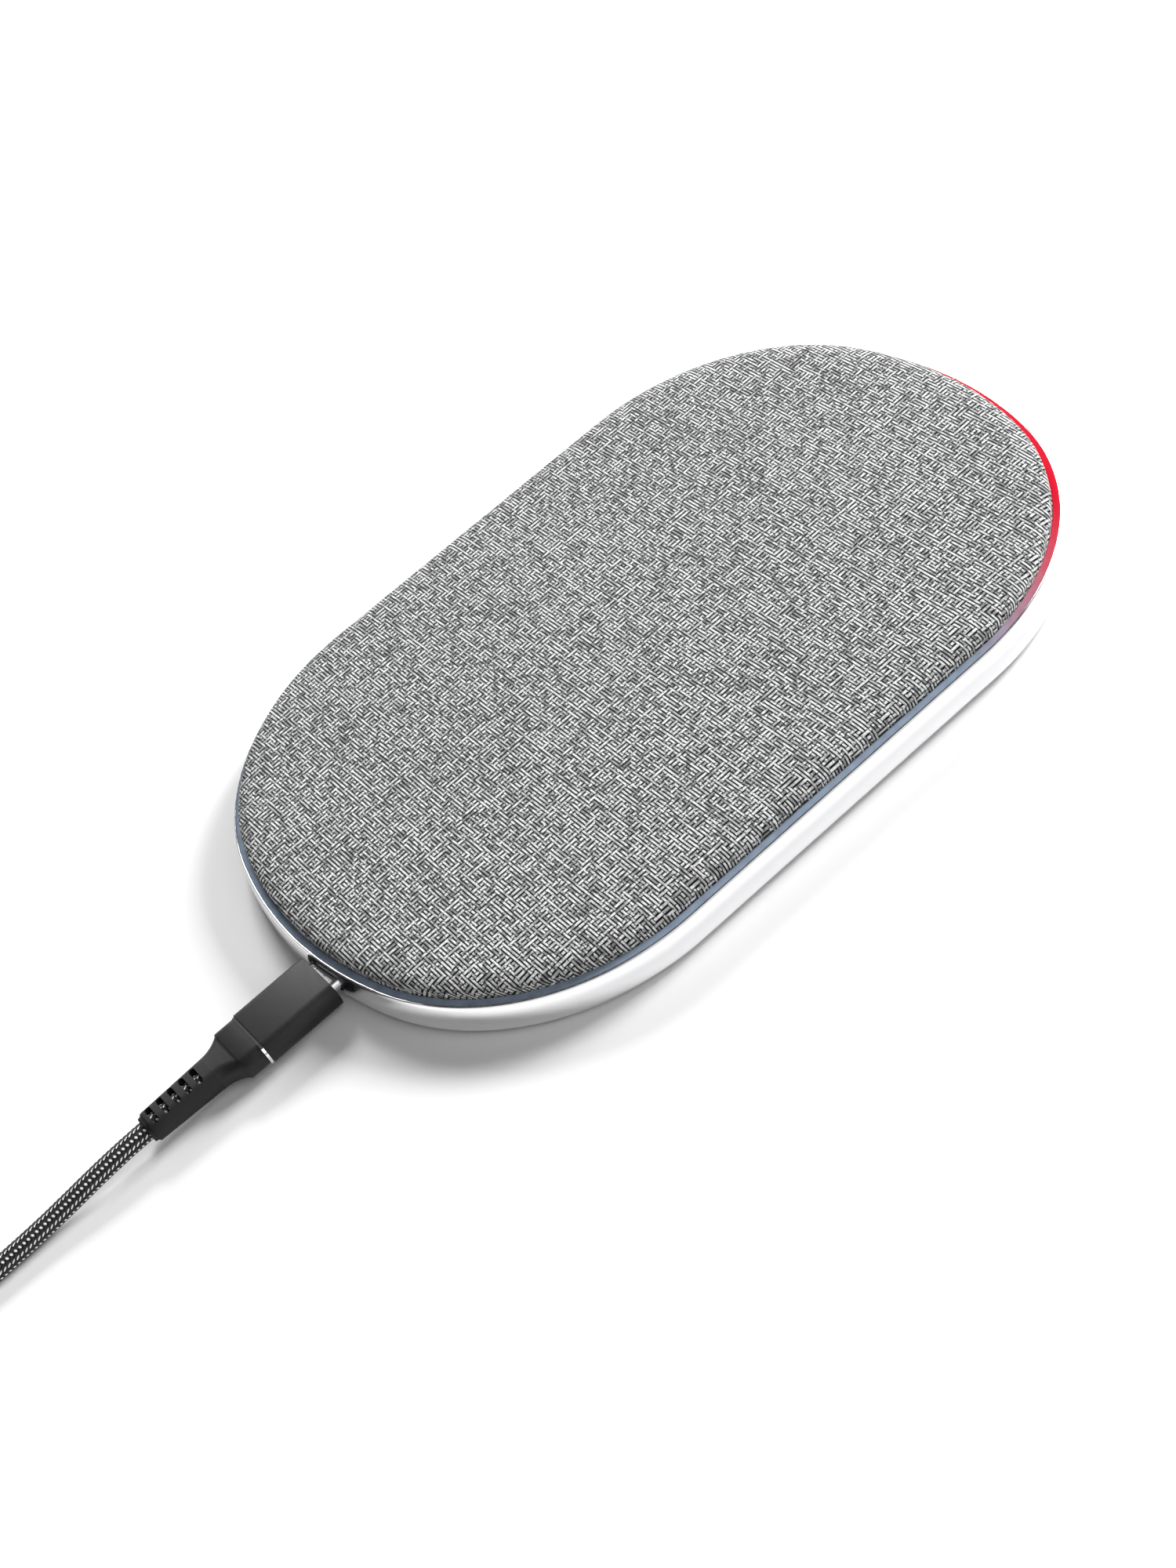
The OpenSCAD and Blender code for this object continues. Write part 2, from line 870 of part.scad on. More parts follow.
module cord_coil() {
    color([0.14, 0.14, 0.15])
        translate([coil_x, coil_y, ring_bottom])
            rotate_extrude($fn = 120)
                translate([ring_inside, 0])
                    square([ring_outside - ring_inside, ring_top - ring_bottom]);
}

// a strap wrapped round the coil's turns
module cord_tie() {
    span = tie_outside - tie_inside;
    height = ring_top - ring_bottom;
    color([0.08, 0.08, 0.09])
    translate([coil_x, coil_y, ring_bottom])
    rotate([0, 0, tie_angle])
    difference() {
        translate([tie_inside - tie_thickness, -tie_width / 2, -tie_thickness])
            cube([span + 2 * tie_thickness, tie_width, height + 2 * tie_thickness]);
        translate([tie_inside, -tie_width, 0]) cube([span, 2 * tie_width, height]);
    }
}

module usb_a_relief() {
    color([0.13, 0.13, 0.14])
        translate([usb_a_start, usb_a_y, usb_a_z])
            rotate([0, 90, 0]) cylinder(d1 = 5, d2 = 6.8, h = usb_a_relief);
}

module usb_a_housing() {
    color([0.15, 0.15, 0.16])
        bar_to_plus_x(usb_a_box, usb_a_housing_length, usb_a_y, usb_a_z)
            oval(usb_a_housing_width, usb_a_housing_thick, 2.6);
}

module usb_a_shell() {
    inside_width = usb_a_shell_width - 2 * usb_a_wall;
    inside_thick = usb_a_shell_thick - 2 * usb_a_wall;
    color([0.80, 0.81, 0.82])
    difference() {
        bar_to_plus_x(usb_a_nose, usb_a_shell_length, usb_a_y, usb_a_z)
            square([usb_a_shell_width, usb_a_shell_thick], center = true);
        bar_to_plus_x(usb_a_nose - over, usb_a_shell_length + 2 * over, usb_a_y, usb_a_z)
            square([inside_width, inside_thick], center = true);
        for (y = [-3, 3]) {
            translate([usb_a_nose + 4, usb_a_y + y - 1.2, usb_a_z]) cube([2.4, 2.4, 5]);
        }
    }
}

module usb_a_tongue() {
    width = usb_a_shell_width - 2 * usb_a_wall;
    floor_z = usb_a_z - usb_a_shell_thick / 2 + usb_a_wall;
    color([0.92, 0.92, 0.90])
        translate([usb_a_nose, usb_a_y - width / 2, floor_z])
            cube([usb_a_shell_length - 0.4, width, 1.84]);
}

module usb_a_contacts() {
    floor_z = usb_a_z - usb_a_shell_thick / 2 + usb_a_wall + 1.84;
    color([0.83, 0.68, 0.30])
    for (y = [-3.5, -1, 1, 3.5]) {
        translate([usb_a_nose + 2.5, usb_a_y + y - 0.5, floor_z]) cube([7.5, 1, 0.15]);
    }
}

// ---------- drawing ----------

fabric_cover();
top_plate();
light_ring();
rim_frame();
base_plate();
foot_at(-1, -1);  // foot_front_left
foot_at(1, -1);  // foot_front_right
foot_at(-1, 1);  // foot_rear_left
foot_at(1, 1);  // foot_rear_right
coil_at(-1);  // coil_left
coil_at(1);  // coil_right
ferrite_at(-1);  // ferrite_left
ferrite_at(1);  // ferrite_right
thermal_sheet_at(-1);  // thermal_sheet_left
thermal_sheet_at(1);  // thermal_sheet_right
coil_tray_at(-1);  // coil_tray_left
coil_tray_at(1);  // coil_tray_right
coil_leads_at(-1);  // coil_leads_left
coil_leads_at(1);  // coil_leads_right
coil_sensors();
main_board();
charge_controllers();
power_drivers();
power_inductors();
tuning_capacitors();
light_board_at(-1);  // light_board_left
light_board_at(1);  // light_board_right
lights_at(-1);  // lights_left
lights_at(1);  // lights_right
usb_board();
usb_socket_shell();
usb_socket_tongue();
power_wires();
case_screws();
board_screws();
usb_c_shell();
usb_c_housing();
usb_c_seam_ring();
usb_c_rear_housing();
strain_relief();
cord();
cord_coil();
cord_tie();
cord_tail();
usb_a_relief();
usb_a_housing();
usb_a_shell();
usb_a_tongue();
usb_a_contacts();
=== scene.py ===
"""Looks for the two-place wireless charging pad and its braided cable.

Everything is in metres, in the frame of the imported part: the pad stands on z = 0 with
its long axis along X, and the cable leaves at the -X end.
"""
import math

import bmesh
import bpy
from mathutils import Matrix, Vector


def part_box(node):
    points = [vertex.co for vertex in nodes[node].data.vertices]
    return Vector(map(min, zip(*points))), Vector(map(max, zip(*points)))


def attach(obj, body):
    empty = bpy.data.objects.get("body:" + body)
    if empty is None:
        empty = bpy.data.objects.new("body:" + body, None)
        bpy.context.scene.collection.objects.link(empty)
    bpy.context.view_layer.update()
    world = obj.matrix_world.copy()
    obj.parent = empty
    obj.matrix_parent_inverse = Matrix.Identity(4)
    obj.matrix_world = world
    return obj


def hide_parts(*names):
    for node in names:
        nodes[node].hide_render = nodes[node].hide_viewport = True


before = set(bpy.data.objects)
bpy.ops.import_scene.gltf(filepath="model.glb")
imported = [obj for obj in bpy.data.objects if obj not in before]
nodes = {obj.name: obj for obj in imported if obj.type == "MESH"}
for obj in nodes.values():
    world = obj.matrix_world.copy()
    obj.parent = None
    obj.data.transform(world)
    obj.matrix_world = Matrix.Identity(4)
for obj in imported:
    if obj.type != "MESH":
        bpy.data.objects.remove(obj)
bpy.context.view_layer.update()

MM = 0.001

# ---------- sizes ----------

pad_low, pad_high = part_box("rim_frame")
PAD_LENGTH = 170 * MM
PAD_WIDTH = 2 * pad_high.y
# the outline's corner arcs run into its end arcs where their common normal is SEAM
END_BOW = 1.5 * MM
SEAM = (0.96, 0.28)
CENTRE_DISTANCE = END_BOW / (1 - SEAM[0])
CORNER_Y = SEAM[1] * CENTRE_DISTANCE
CORNER_RADIUS = PAD_WIDTH / 2 - CORNER_Y
CORNER_X = PAD_LENGTH / 2 - CORNER_RADIUS - END_BOW
END_X = CORNER_X - SEAM[0] * CENTRE_DISTANCE
END_RADIUS = CORNER_RADIUS + CENTRE_DISTANCE
RIM_WALL = 1.8 * MM
RIM_LEAN = 0.85 * MM
RIM_BOTTOM = pad_low.z
RIM_TOP = pad_high.z

cloth_low, cloth_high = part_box("fabric_cover")
CLOTH_INSET = PAD_WIDTH / 2 - cloth_high.y
CLOTH_THICK = 0.6 * MM
CLOTH_ROUND_IN = 5 * MM
CLOTH_ROUND_DOWN = 1.35 * MM
CLOTH_FOLD = 0.35 * MM
CLOTH_HEM = 2.4 * MM
WARP_PITCH = 0.68 * MM
WEFT_PITCH = 0.95 * MM

FLAT_RING_INSETS = (10, 12, 15, 19, 24, 30, 37, 44)

WINDOWS = 5
FIRST_WINDOW = 2.6 * MM
WINDOW_PITCH = 2.5 * MM
WINDOW_HALF_LONG = 0.6 * MM
WINDOW_HALF_WIDE = 2.15 * MM
WINDOW_ROUND = 0.55 * MM

STRAP_REACH = 29.5 * MM
STRAP_INSIDE = 13.5 * MM
STRAP_THICK = 0.45 * MM
STRAP_HALF_WIDE = 4.4 * MM
STRAP_TURN = math.radians(15)

WINDING_BORE = 10 * MM
DOME_RADIUS = 0.5 * MM
LEG_OUT = 0.35 * MM
LEG_HIGH = 0.22 * MM

CORD_DIAMETER = 3.8 * MM
CORD_SIDES = 20
CORD_RING_STEP = 1.25
FLECK_ROWS = 10
FLECK_PITCH = 0.95
CORD_ROUTE = [
    (-110.4, -9.5, 3.9), (-118, -9.5, 3.9), (-126, -9.5, 3.9), (-131, -9.5, 3.8),
    (-137, -9.5, 3.4), (-143, -9.5, 2.8), (-149, -9.5, 2.3), (-156, -9.5, 2),
    (-163, -9.5, 1.9), (-170, -9.5, 2), (-177, -9.5, 2.2), (-184.5, -9.5, 2.4),
]
TAIL_ROUTE = [
    (-214, 37, 5.8), (-211, 42, 5), (-207, 47, 4.3), (-202, 51, 3.9),
    (-196, 54, 3.8), (-191, 55, 4), (-186, 55, 4),
]
COIL_CENTRE = (-192, 18)
COIL_OUTER = 27.5
COIL_INNER = 16.4
COIL_LOW = 2.5
COIL_HIGH = 6.1
COIL_TURNS = 6.31


# ---------- camera ----------

def make_camera():
    azimuth, elevation, roll = math.radians(17.97), math.radians(44.06), math.radians(-28.03)
    target = Vector((-25.4, -12.74, 0.9)) * MM
    distance = 447.1 * MM
    ahead = Vector((
        math.sin(azimuth) * math.cos(elevation),
        math.cos(azimuth) * math.cos(elevation),
        -math.sin(elevation),
    ))
    level = Vector((math.cos(azimuth), -math.sin(azimuth), 0))
    right = math.cos(roll) * level + math.sin(roll) * level.cross(ahead)
    up = right.cross(ahead)
    data = bpy.data.cameras.new("camera")
    data.sensor_width = 36
    data.lens = 56.1
    camera = bpy.data.objects.new("camera", data)
    bpy.context.scene.collection.objects.link(camera)
    turn = Matrix((right, up, -ahead)).transposed().to_4x4()
    camera.matrix_world = Matrix.Translation(target - distance * ahead) @ turn
    bpy.context.scene.camera = camera


make_camera()


# ---------- mesh helpers ----------

def add_mesh(name, mesh_or_bmesh):
    """Links a new object that stands at the origin."""
    if isinstance(mesh_or_bmesh, bmesh.types.BMesh):
        mesh = bpy.data.meshes.new(name)
        mesh_or_bmesh.to_mesh(mesh)
        mesh_or_bmesh.free()
    else:
        mesh = mesh_or_bmesh
    piece = bpy.data.objects.new(name, mesh)
    bpy.context.scene.collection.objects.link(piece)
    return piece


def bake_modifiers(piece):
    """Replaces a piece's mesh with its evaluated one and drops the modifiers."""
    shown = piece.evaluated_get(bpy.context.evaluated_depsgraph_get())
    mesh = bpy.data.meshes.new_from_object(shown)
    piece.modifiers.clear()
    piece.data = mesh
    return piece


def cut_away(piece, cutter_shape):
    """Takes a closed shape out of a piece."""
    cutter = add_mesh("cutter", cutter_shape)
    cut = piece.modifiers.new("cut", "BOOLEAN")
    cut.operation = "DIFFERENCE"
    cut.solver = "EXACT"
    cut.object = cutter
    bake_modifiers(piece)
    bpy.data.objects.remove(cutter)
    return piece


def shade(piece, material, sharp_angle=35):
    """Gives a piece its material, and smooth shading up to an angle."""
    piece.data.materials.clear()
    piece.data.materials.append(material)
    piece.data.shade_smooth()
    edges = bmesh.new()
    edges.from_mesh(piece.data)
    for edge in edges.edges:
        edge.smooth = edge.calc_face_angle(math.pi) < math.radians(sharp_angle)
    edges.to_mesh(piece.data)
    edges.free()


def outline(inset, end_steps=12, corner_steps=32):
    """Points round the pad at an inset from the rim, each with its outward direction."""
    seam = math.atan2(SEAM[1], SEAM[0])
    quarter = []
    for centre, radius, start, stop, steps in (
        ((END_X, 0), END_RADIUS - inset, 0, seam, end_steps),
        ((CORNER_X, CORNER_Y), CORNER_RADIUS - inset, seam, math.pi / 2, corner_steps),
    ):
        for step in range(0 if start == 0 else 1, steps + 1):
            angle = start + (stop - start) * step / steps
            out = Vector((math.cos(angle), math.sin(angle)))
            quarter.append((Vector(centre) + radius * out, out))
    points = []
    for x, y in ((1, 1), (-1, 1), (-1, -1), (1, -1)):
        side = [(Vector((x * p.x, y * p.y)), Vector((x * o.x, y * o.y))) for p, o in quarter]
        if x != y:
            side.reverse()
        points += side[1:] if (x, y) == (-1, -1) else side
    return points[:-1]


def loft(rings, loop=False):
    """A bmesh skinned over closed rings of points, with a UV of turns round and rings along."""
    shape = bmesh.new()
    uv = shape.loops.layers.uv.new("uv")
    made = [[shape.verts.new(point) for point in ring] for ring in rings]
    count = len(rings[0])
    for a, b in zip(range(len(rings)), range(1, len(rings) + (1 if loop else 0))):
        for k in range(count):
            n = (k + 1) % count
            face = shape.faces.new((
                made[a][k], made[a][n], made[b % len(rings)][n], made[b % len(rings)][k],
            ))
            for corner, (u, v) in zip(face.loops, ((k, a), (k + 1, a), (k + 1, b), (k, b))):
                corner[uv].uv = (u / count, v)
    if not loop:
        shape.faces.new(list(reversed(made[0])))
        shape.faces.new(made[-1])
    bmesh.ops.recalc_face_normals(shape, faces=shape.faces)
    return shape


# ---------- cord ----------

def smooth_path(points, spacing):
    """A Catmull-Rom curve through the points, cut at an even spacing."""
    ends = [2 * points[0] - points[1], *points, 2 * points[-1] - points[-2]]
    fine = []
    for a, b, c, d in zip(ends, ends[1:], ends[2:], ends[3:]):
        for step in range(16):
            t = step / 16
            fine.append(0.5 * (
                2 * b + (c - a) * t + (2 * a - 5 * b + 4 * c - d) * t ** 2
                + (3 * b - a - 3 * c + d) * t ** 3
            ))
    fine.append(points[-1])
    total = sum((b - a).length for a, b in zip(fine, fine[1:]))
    count = round(total / spacing)
    even = [fine[0]]
    travelled = 0
    for a, b in zip(fine, fine[1:]):
        step = (b - a).length
        while step and len(even) < count and travelled + step >= len(even) * total / count:
            even.append(a.lerp(b, (len(even) * total / count - travelled) / step))
        travelled += step
    even.append(fine[-1])
    return even


def coil_path():
    """Two layers of turns: inward on the surface, then outward on top of them."""
    points = []
    turns_in = (COIL_OUTER - COIL_INNER) / (CORD_DIAMETER / MM)
    climb = 0.45
    steps = round(COIL_TURNS * 24)
    for step in range(1, steps + 1):
        turn = COIL_TURNS * step / steps
        angle = math.radians(-90 - 360 * turn)
        outward = max(0, turn - turns_in - climb)
        inward = min(turn, turns_in)
        radius = COIL_OUTER + (outward - inward) * CORD_DIAMETER / MM
        lift = min(max((turn - turns_in) / climb, 0), 1)
        height = COIL_LOW + (COIL_HIGH - COIL_LOW) * lift * lift * (3 - 2 * lift)
        points.append(Vector((
            COIL_CENTRE[0] + radius * math.cos(angle),
            COIL_CENTRE[1] + radius * math.sin(angle),
            height,
        )))
    return points


def frames_along(path):
    """A sideways and an upward direction at each point, without twist."""
    frames = []
    up = Vector((0, 0, 1))
    for i in range(len(path)):
        ahead = (path[min(i + 1, len(path) - 1)] - path[max(i - 1, 0)]).normalized()
        side = up.cross(ahead).normalized()
        frames.append((side, ahead.cross(side)))
    return frames


def make_cord():
    points = [Vector(point) for point in CORD_ROUTE]
    points.append(Vector((COIL_CENTRE[0], COIL_CENTRE[1] - COIL_OUTER, COIL_LOW)))
    points += coil_path()
    points += [Vector(point) for point in TAIL_ROUTE]
    path = [point * MM for point in smooth_path(points, CORD_RING_STEP)]
    turns = [2 * math.pi * k / CORD_SIDES for k in range(CORD_SIDES)]
    rings = [
        [point + CORD_DIAMETER / 2 * (math.cos(turn) * side + math.sin(turn) * up)
         for turn in turns]
        for point, (side, up) in zip(path, frames_along(path))
    ]
    return add_mesh("braided_cord", loft(rings)), path


braided_cord, cord_path = make_cord()


# ---------- cloth cover ----------

def cloth_profile():
    """The cloth's section from its flat top outward: inset, height, and length of cloth."""
    flat_inset = CLOTH_INSET + CLOTH_ROUND_IN
    hem_z = cloth_low.z
    places = [
        (flat_inset - CLOTH_ROUND_IN * math.sin(math.radians(angle)),
         cloth_high.z - CLOTH_ROUND_DOWN * (1 - math.cos(math.radians(angle))))
        for angle in (0, 10, 20, 30, 40, 50, 58, 66, 73, 79, 84, 90)
    ]
    places += [
        (CLOTH_INSET, (cloth_high.z + hem_z) / 2),
        (CLOTH_INSET, hem_z + CLOTH_FOLD),
        (CLOTH_INSET + 0.3 * CLOTH_FOLD, hem_z + 0.3 * CLOTH_FOLD),
        (CLOTH_INSET + CLOTH_FOLD, hem_z),
        (CLOTH_INSET + CLOTH_HEM, hem_z),
    ]
    profile = []
    length = 0
    for before, (inset, z) in zip([places[0]] + places, places):
        length += math.dist(before, (inset, z))
        profile.append((inset, z, length))
    return profile


def make_cloth():
    """The cloth: a flat top, a rounded edge all round and a hem turned in under it.

    Its UVs are metres on the flat cloth, so that the weave keeps its size round the edge.
    """
    profile = cloth_profile()
    profile.reverse()
    flat = [(inset * MM, cloth_high.z, None) for inset in FLAT_RING_INSETS]
    shape = bmesh.new()
    uv = shape.loops.layers.uv.new("uv")
    rings = []
    flat_edge = outline(CLOTH_INSET + CLOTH_ROUND_IN)
    for inset, z, reach in profile + flat:
        ring = []
        for (point, out), (edge, _) in zip(outline(inset), flat_edge):
            place = shape.verts.new((point.x, point.y, z))
            ring.append((place, point if reach is None else edge + out * reach))
        rings.append(ring)
    cut = [spot for _, spot in rings[0]]
    for low, high in zip(rings, rings[1:]):
        for k in range(len(low)):
            corners = (low[k], low[(k + 1) % len(low)], high[(k + 1) % len(low)], high[k])
            face = shape.faces.new([vert for vert, _ in corners])
            for loop, (_, spot) in zip(face.loops, corners):
                loop[uv].uv = spot
    face = shape.faces.new([vert for vert, _ in rings[-1]])
    for loop, (_, spot) in zip(face.loops, rings[-1]):
        loop[uv].uv = spot
    cloth = add_mesh("cloth_cover", shape)
    skin = cloth.modifiers.new("thickness", "SOLIDIFY")
    skin.thickness = CLOTH_THICK
    skin.offset = -1
    return bake_modifiers(cloth), cut


# ---------- aluminium rim ----------

def arc(centre, radius, start, end, steps):
    """Points on an arc in a section, angles in degrees."""
    return [
        (centre[0] + radius * math.cos(math.radians(start + (end - start) * k / steps)),
         centre[1] + radius * math.sin(math.radians(start + (end - start) * k / steps)))
        for k in range(steps + 1)
    ]


def rim_section():
    """The rim's section as (inset, height) pairs, from inside the ledge round the outside."""
    low = RIM_BOTTOM
    bottom_round = 1 * MM
    side_start = low + bottom_round
    rise = RIM_TOP - side_start
    side_radius = (rise ** 2 + RIM_LEAN ** 2) / (2 * RIM_LEAN)
    sweep = math.degrees(math.asin(rise / side_radius))
    soft = 0.12 * MM
    ledge_top = RIM_TOP - 1.7 * MM
    ledge_in = RIM_WALL + 1.2 * MM
    land_in = RIM_LEAN + 0.35 * MM
    points = [(RIM_WALL, low)]
    points += arc((bottom_round, side_start), bottom_round, -90, -180, 6)
    points += arc((side_radius, side_start), side_radius, 180, 180 - sweep + 0.6, 10)[1:]
    points += arc((RIM_LEAN + soft, RIM_TOP - soft), soft, 170, 90, 4)
    points += arc((land_in - soft, RIM_TOP - soft), soft, 90, 0, 4)
    points += [(land_in, ledge_top), (ledge_in, ledge_top)]
    points += [(ledge_in, ledge_top - 0.8 * MM), (RIM_WALL, ledge_top - 0.8 * MM)]
    return points


def make_swept_ring(name, section):
    """A closed ring with the same section all round the pad."""
    rings = []
    for spot in range(len(outline(0))):
        ring = []
        for inset, z in section:
            point, _ = outline(inset)[spot]
            ring.append(Vector((point.x, point.y, z)))
        rings.append(ring)
    return add_mesh(name, loft(rings, loop=True))


def cut_port(piece):
    """Cuts the opening for the cable's plug through a ring at the -X end."""
    low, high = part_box("usb_socket_shell")
    gap = 0.25 * MM
    middle = (low + high) / 2
    across = (high.y - low.y) / 2 + gap
    up = (high.z - low.z) / 2 + gap
    section = []
    for side in (1, -1):
        section += [
            (side * (across - up + up * math.cos(angle)), side * up * math.sin(angle))
            for angle in (math.radians(-90 + 180 * k / 12) for k in range(13))
        ]
    rings = [
        [Vector((x, middle.y + y, middle.z + z)) for y, z in section]
        for x in (-PAD_LENGTH / 2 - 5 * MM, -PAD_LENGTH / 2 + 7 * MM)
    ]
    return cut_away(piece, loft(rings))


# ---------- cable end pieces ----------

port_low, port_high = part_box("usb_socket_shell")
PORT_Y = (port_low.y + port_high.y) / 2
PORT_Z = (port_low.z + port_high.z) / 2


def rounded_bar(half_width, half_height, radius, steps=8):
    """A rounded rectangle as (across, up) pairs."""
    points = []
    for corner, (x, y) in enumerate(((1, 1), (-1, 1), (-1, -1), (1, -1))):
        for step in range(steps + 1):
            angle = math.radians(90) * (corner + step / steps)
            points.append((
                x * (half_width - radius) + radius * math.cos(angle),
                y * (half_height - radius) + radius * math.sin(angle),
            ))
    return points


def bar_rings(stations, y, z):
    """Rings square to X: each station is (x, half width, half height, radius)."""
    return [
        [Vector((x, y + across, z + up)) for across, up in rounded_bar(half_w, half_h, radius)]
        for x, half_w, half_h, radius in stations
    ]


def soft_bar(name, node, radius, soft, y=PORT_Y, z=PORT_Z):
    """A rounded bar that fills a CAD node's box, with softened end edges."""
    low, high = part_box(node)
    half_w, half_h = (high.y - low.y) / 2, (high.z - low.z) / 2
    stations = []
    for k in range(5):
        angle = math.radians(90 * k / 4)
        shrink = soft * (1 - math.sin(angle))
        stations.append((low.x + soft * (1 - math.cos(angle)), half_w - shrink, half_h - shrink,
                         radius - shrink))
    mirrored = [(low.x + high.x - x, w, h, r) for x, w, h, r in reversed(stations)]
    return add_mesh(name, loft(bar_rings(stations + mirrored, y, z)))


def make_plug_rear():
    """The housing behind the seam: a short straight part, then a waisted taper."""
    low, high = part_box("usb_c_rear_housing")
    half_w, half_h = (high.y - low.y) / 2, (high.z - low.z) / 2
    straight = 4 * MM
    shoulder = 0.35 * MM
    neck_w, neck_h = 3.75 * MM, 2.45 * MM
    taper = high.x - low.x - straight - shoulder
    stations = [
        (high.x, half_w, half_h),
        (high.x - straight, half_w, half_h),
        (high.x - straight - 0.15 * MM, half_w - 0.08 * MM, half_h - 0.05 * MM),
        (high.x - straight - shoulder, half_w - 0.45 * MM, half_h - 0.12 * MM),
    ]
    for step in range(1, 13):
        t = step / 12
        waist = (1 - t) ** 2.1
        stations.append((
            high.x - straight - shoulder - taper * t,
            neck_w + (half_w - 0.45 * MM - neck_w) * waist,
            neck_h + (half_h - 0.12 * MM - neck_h) * waist,
        ))
    stations.reverse()
    rounded = [(x, w, h, min(2.3 * MM, h - 0.1 * MM)) for x, w, h in stations]
    return add_mesh("plug_rear", loft(bar_rings(rounded, PORT_Y, PORT_Z)))


def make_slotted_relief():
    """The flat oval sleeve behind the housing, with five windows across both faces."""
    low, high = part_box("strain_relief")
    start_w, start_h = (high.y - low.y) / 2, (high.z - low.z) / 2
    end_w, end_h = 3.15 * MM, 2.4 * MM
    collar = 0.7 * MM
    bore = CORD_DIAMETER / 2 + 0.05 * MM
    body_end = low.x + collar
    stations = []
    for t in (0, 0.25, 0.5, 0.75, 0.97):
        stations.append((high.x + (body_end - high.x) * t,
                         start_w + (end_w - start_w) * t, start_h + (end_h - start_h) * t))
    stations += [
        (body_end + 0.12 * MM, end_w - 0.1 * MM, end_h - 0.06 * MM),
        (body_end, end_w - 0.4 * MM, end_h - 0.2 * MM),
        (low.x + 0.12 * MM, 2.55 * MM, 2.17 * MM),
        (low.x, 2.4 * MM, 2.08 * MM),
    ]
    rounded = [(x, w, h, h - 0.15 * MM) for x, w, h in stations]
    rounded += [(x, bore, bore, bore - 0.02 * MM) for x in (low.x, high.x)]
    sleeve = add_mesh("slotted_relief", loft(bar_rings(rounded, PORT_Y, PORT_Z), loop=True))
    slot = rounded_bar(WINDOW_HALF_LONG, WINDOW_HALF_WIDE, WINDOW_ROUND, 5)
    for number in range(WINDOWS):
        x = high.x - FIRST_WINDOW - number * WINDOW_PITCH
        cut_away(sleeve, loft([
            [Vector((x + a, PORT_Y + b, PORT_Z + z)) for a, b in slot]
            for z in (-5 * MM, 5 * MM)
        ]))
    return sleeve


def make_strap():
    """A hook-and-loop strap round the coil's turns, with rounded corners."""
    low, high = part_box("cord_tie")
    slack = 0.02 * MM
    middle = (STRAP_REACH + STRAP_INSIDE) / 2
    half = (STRAP_REACH - STRAP_INSIDE) / 2 + STRAP_THICK
    centre_z, half_z = (low.z + high.z) / 2, (high.z - low.z) / 2 - slack
    section_out = rounded_bar(half, half_z, 2.4 * MM, 10)
    section_in = rounded_bar(half - STRAP_THICK, half_z - STRAP_THICK, 2 * MM, 10)
    along = Vector((math.cos(STRAP_TURN), math.sin(STRAP_TURN), 0))
    across = Vector((-math.sin(STRAP_TURN), math.cos(STRAP_TURN), 0))
    centre = Vector((COIL_CENTRE[0] * MM, COIL_CENTRE[1] * MM, 0))
    rings = []
    for section, side in ((section_in, -1), (section_out, -1), (section_out, 1), (section_in, 1)):
        edge = centre + across * side * STRAP_HALF_WIDE
        rings.append([
            edge + along * (middle + a) + Vector((0, 0, centre_z + b)) for a, b in section
        ])
    return add_mesh("cord_strap", loft(rings, loop=True))


# ---------- shader helpers and shared groups ----------

def add_node(tree, kind, inputs=None, **settings):
    """Adds a node, sets its properties, and sets or links its inputs."""
    node = tree.nodes.new(kind)
    for name, value in settings.items():
        setattr(node, name, value)
    for name, value in (inputs or {}).items():
        if isinstance(value, bpy.types.NodeSocket):
            tree.links.new(value, node.inputs[name])
        else:
            node.inputs[name].default_value = value
    return node


def calc(tree, operation, *values, clamp=False):
    node = add_node(tree, "ShaderNodeMath", dict(enumerate(values)), operation=operation)
    node.use_clamp = clamp
    return node.outputs[0]


def between(tree, value, low, high, to_low=0.0, to_high=1.0, smooth=False):
    """Maps a value from one range to another, clamped."""
    return add_node(tree, "ShaderNodeMapRange", {
        "Value": value, "From Min": low, "From Max": high, "To Min": to_low, "To Max": to_high,
    }, interpolation_type="SMOOTHSTEP" if smooth else "LINEAR").outputs["Result"]


def blend(tree, mask, dark, light):
    """A colour between two, by a mask."""
    node = add_node(tree, "ShaderNodeMix", data_type="RGBA")
    for socket, value in ((0, mask), (6, dark), (7, light)):
        if isinstance(value, bpy.types.NodeSocket):
            tree.links.new(value, node.inputs[socket])
        else:
            node.inputs[socket].default_value = value
    return node.outputs[2]


def new_group(name, inputs, outputs):
    group = bpy.data.node_groups.new(name, "ShaderNodeTree")
    for label, kind, default in inputs:
        socket = group.interface.new_socket(label, in_out="INPUT", socket_type="NodeSocket" + kind)
        if default is not None:
            socket.default_value = default
    for label, kind in outputs:
        group.interface.new_socket(label, in_out="OUTPUT", socket_type="NodeSocket" + kind)
    return group, add_node(group, "NodeGroupInput").outputs, add_node(group, "NodeGroupOutput")


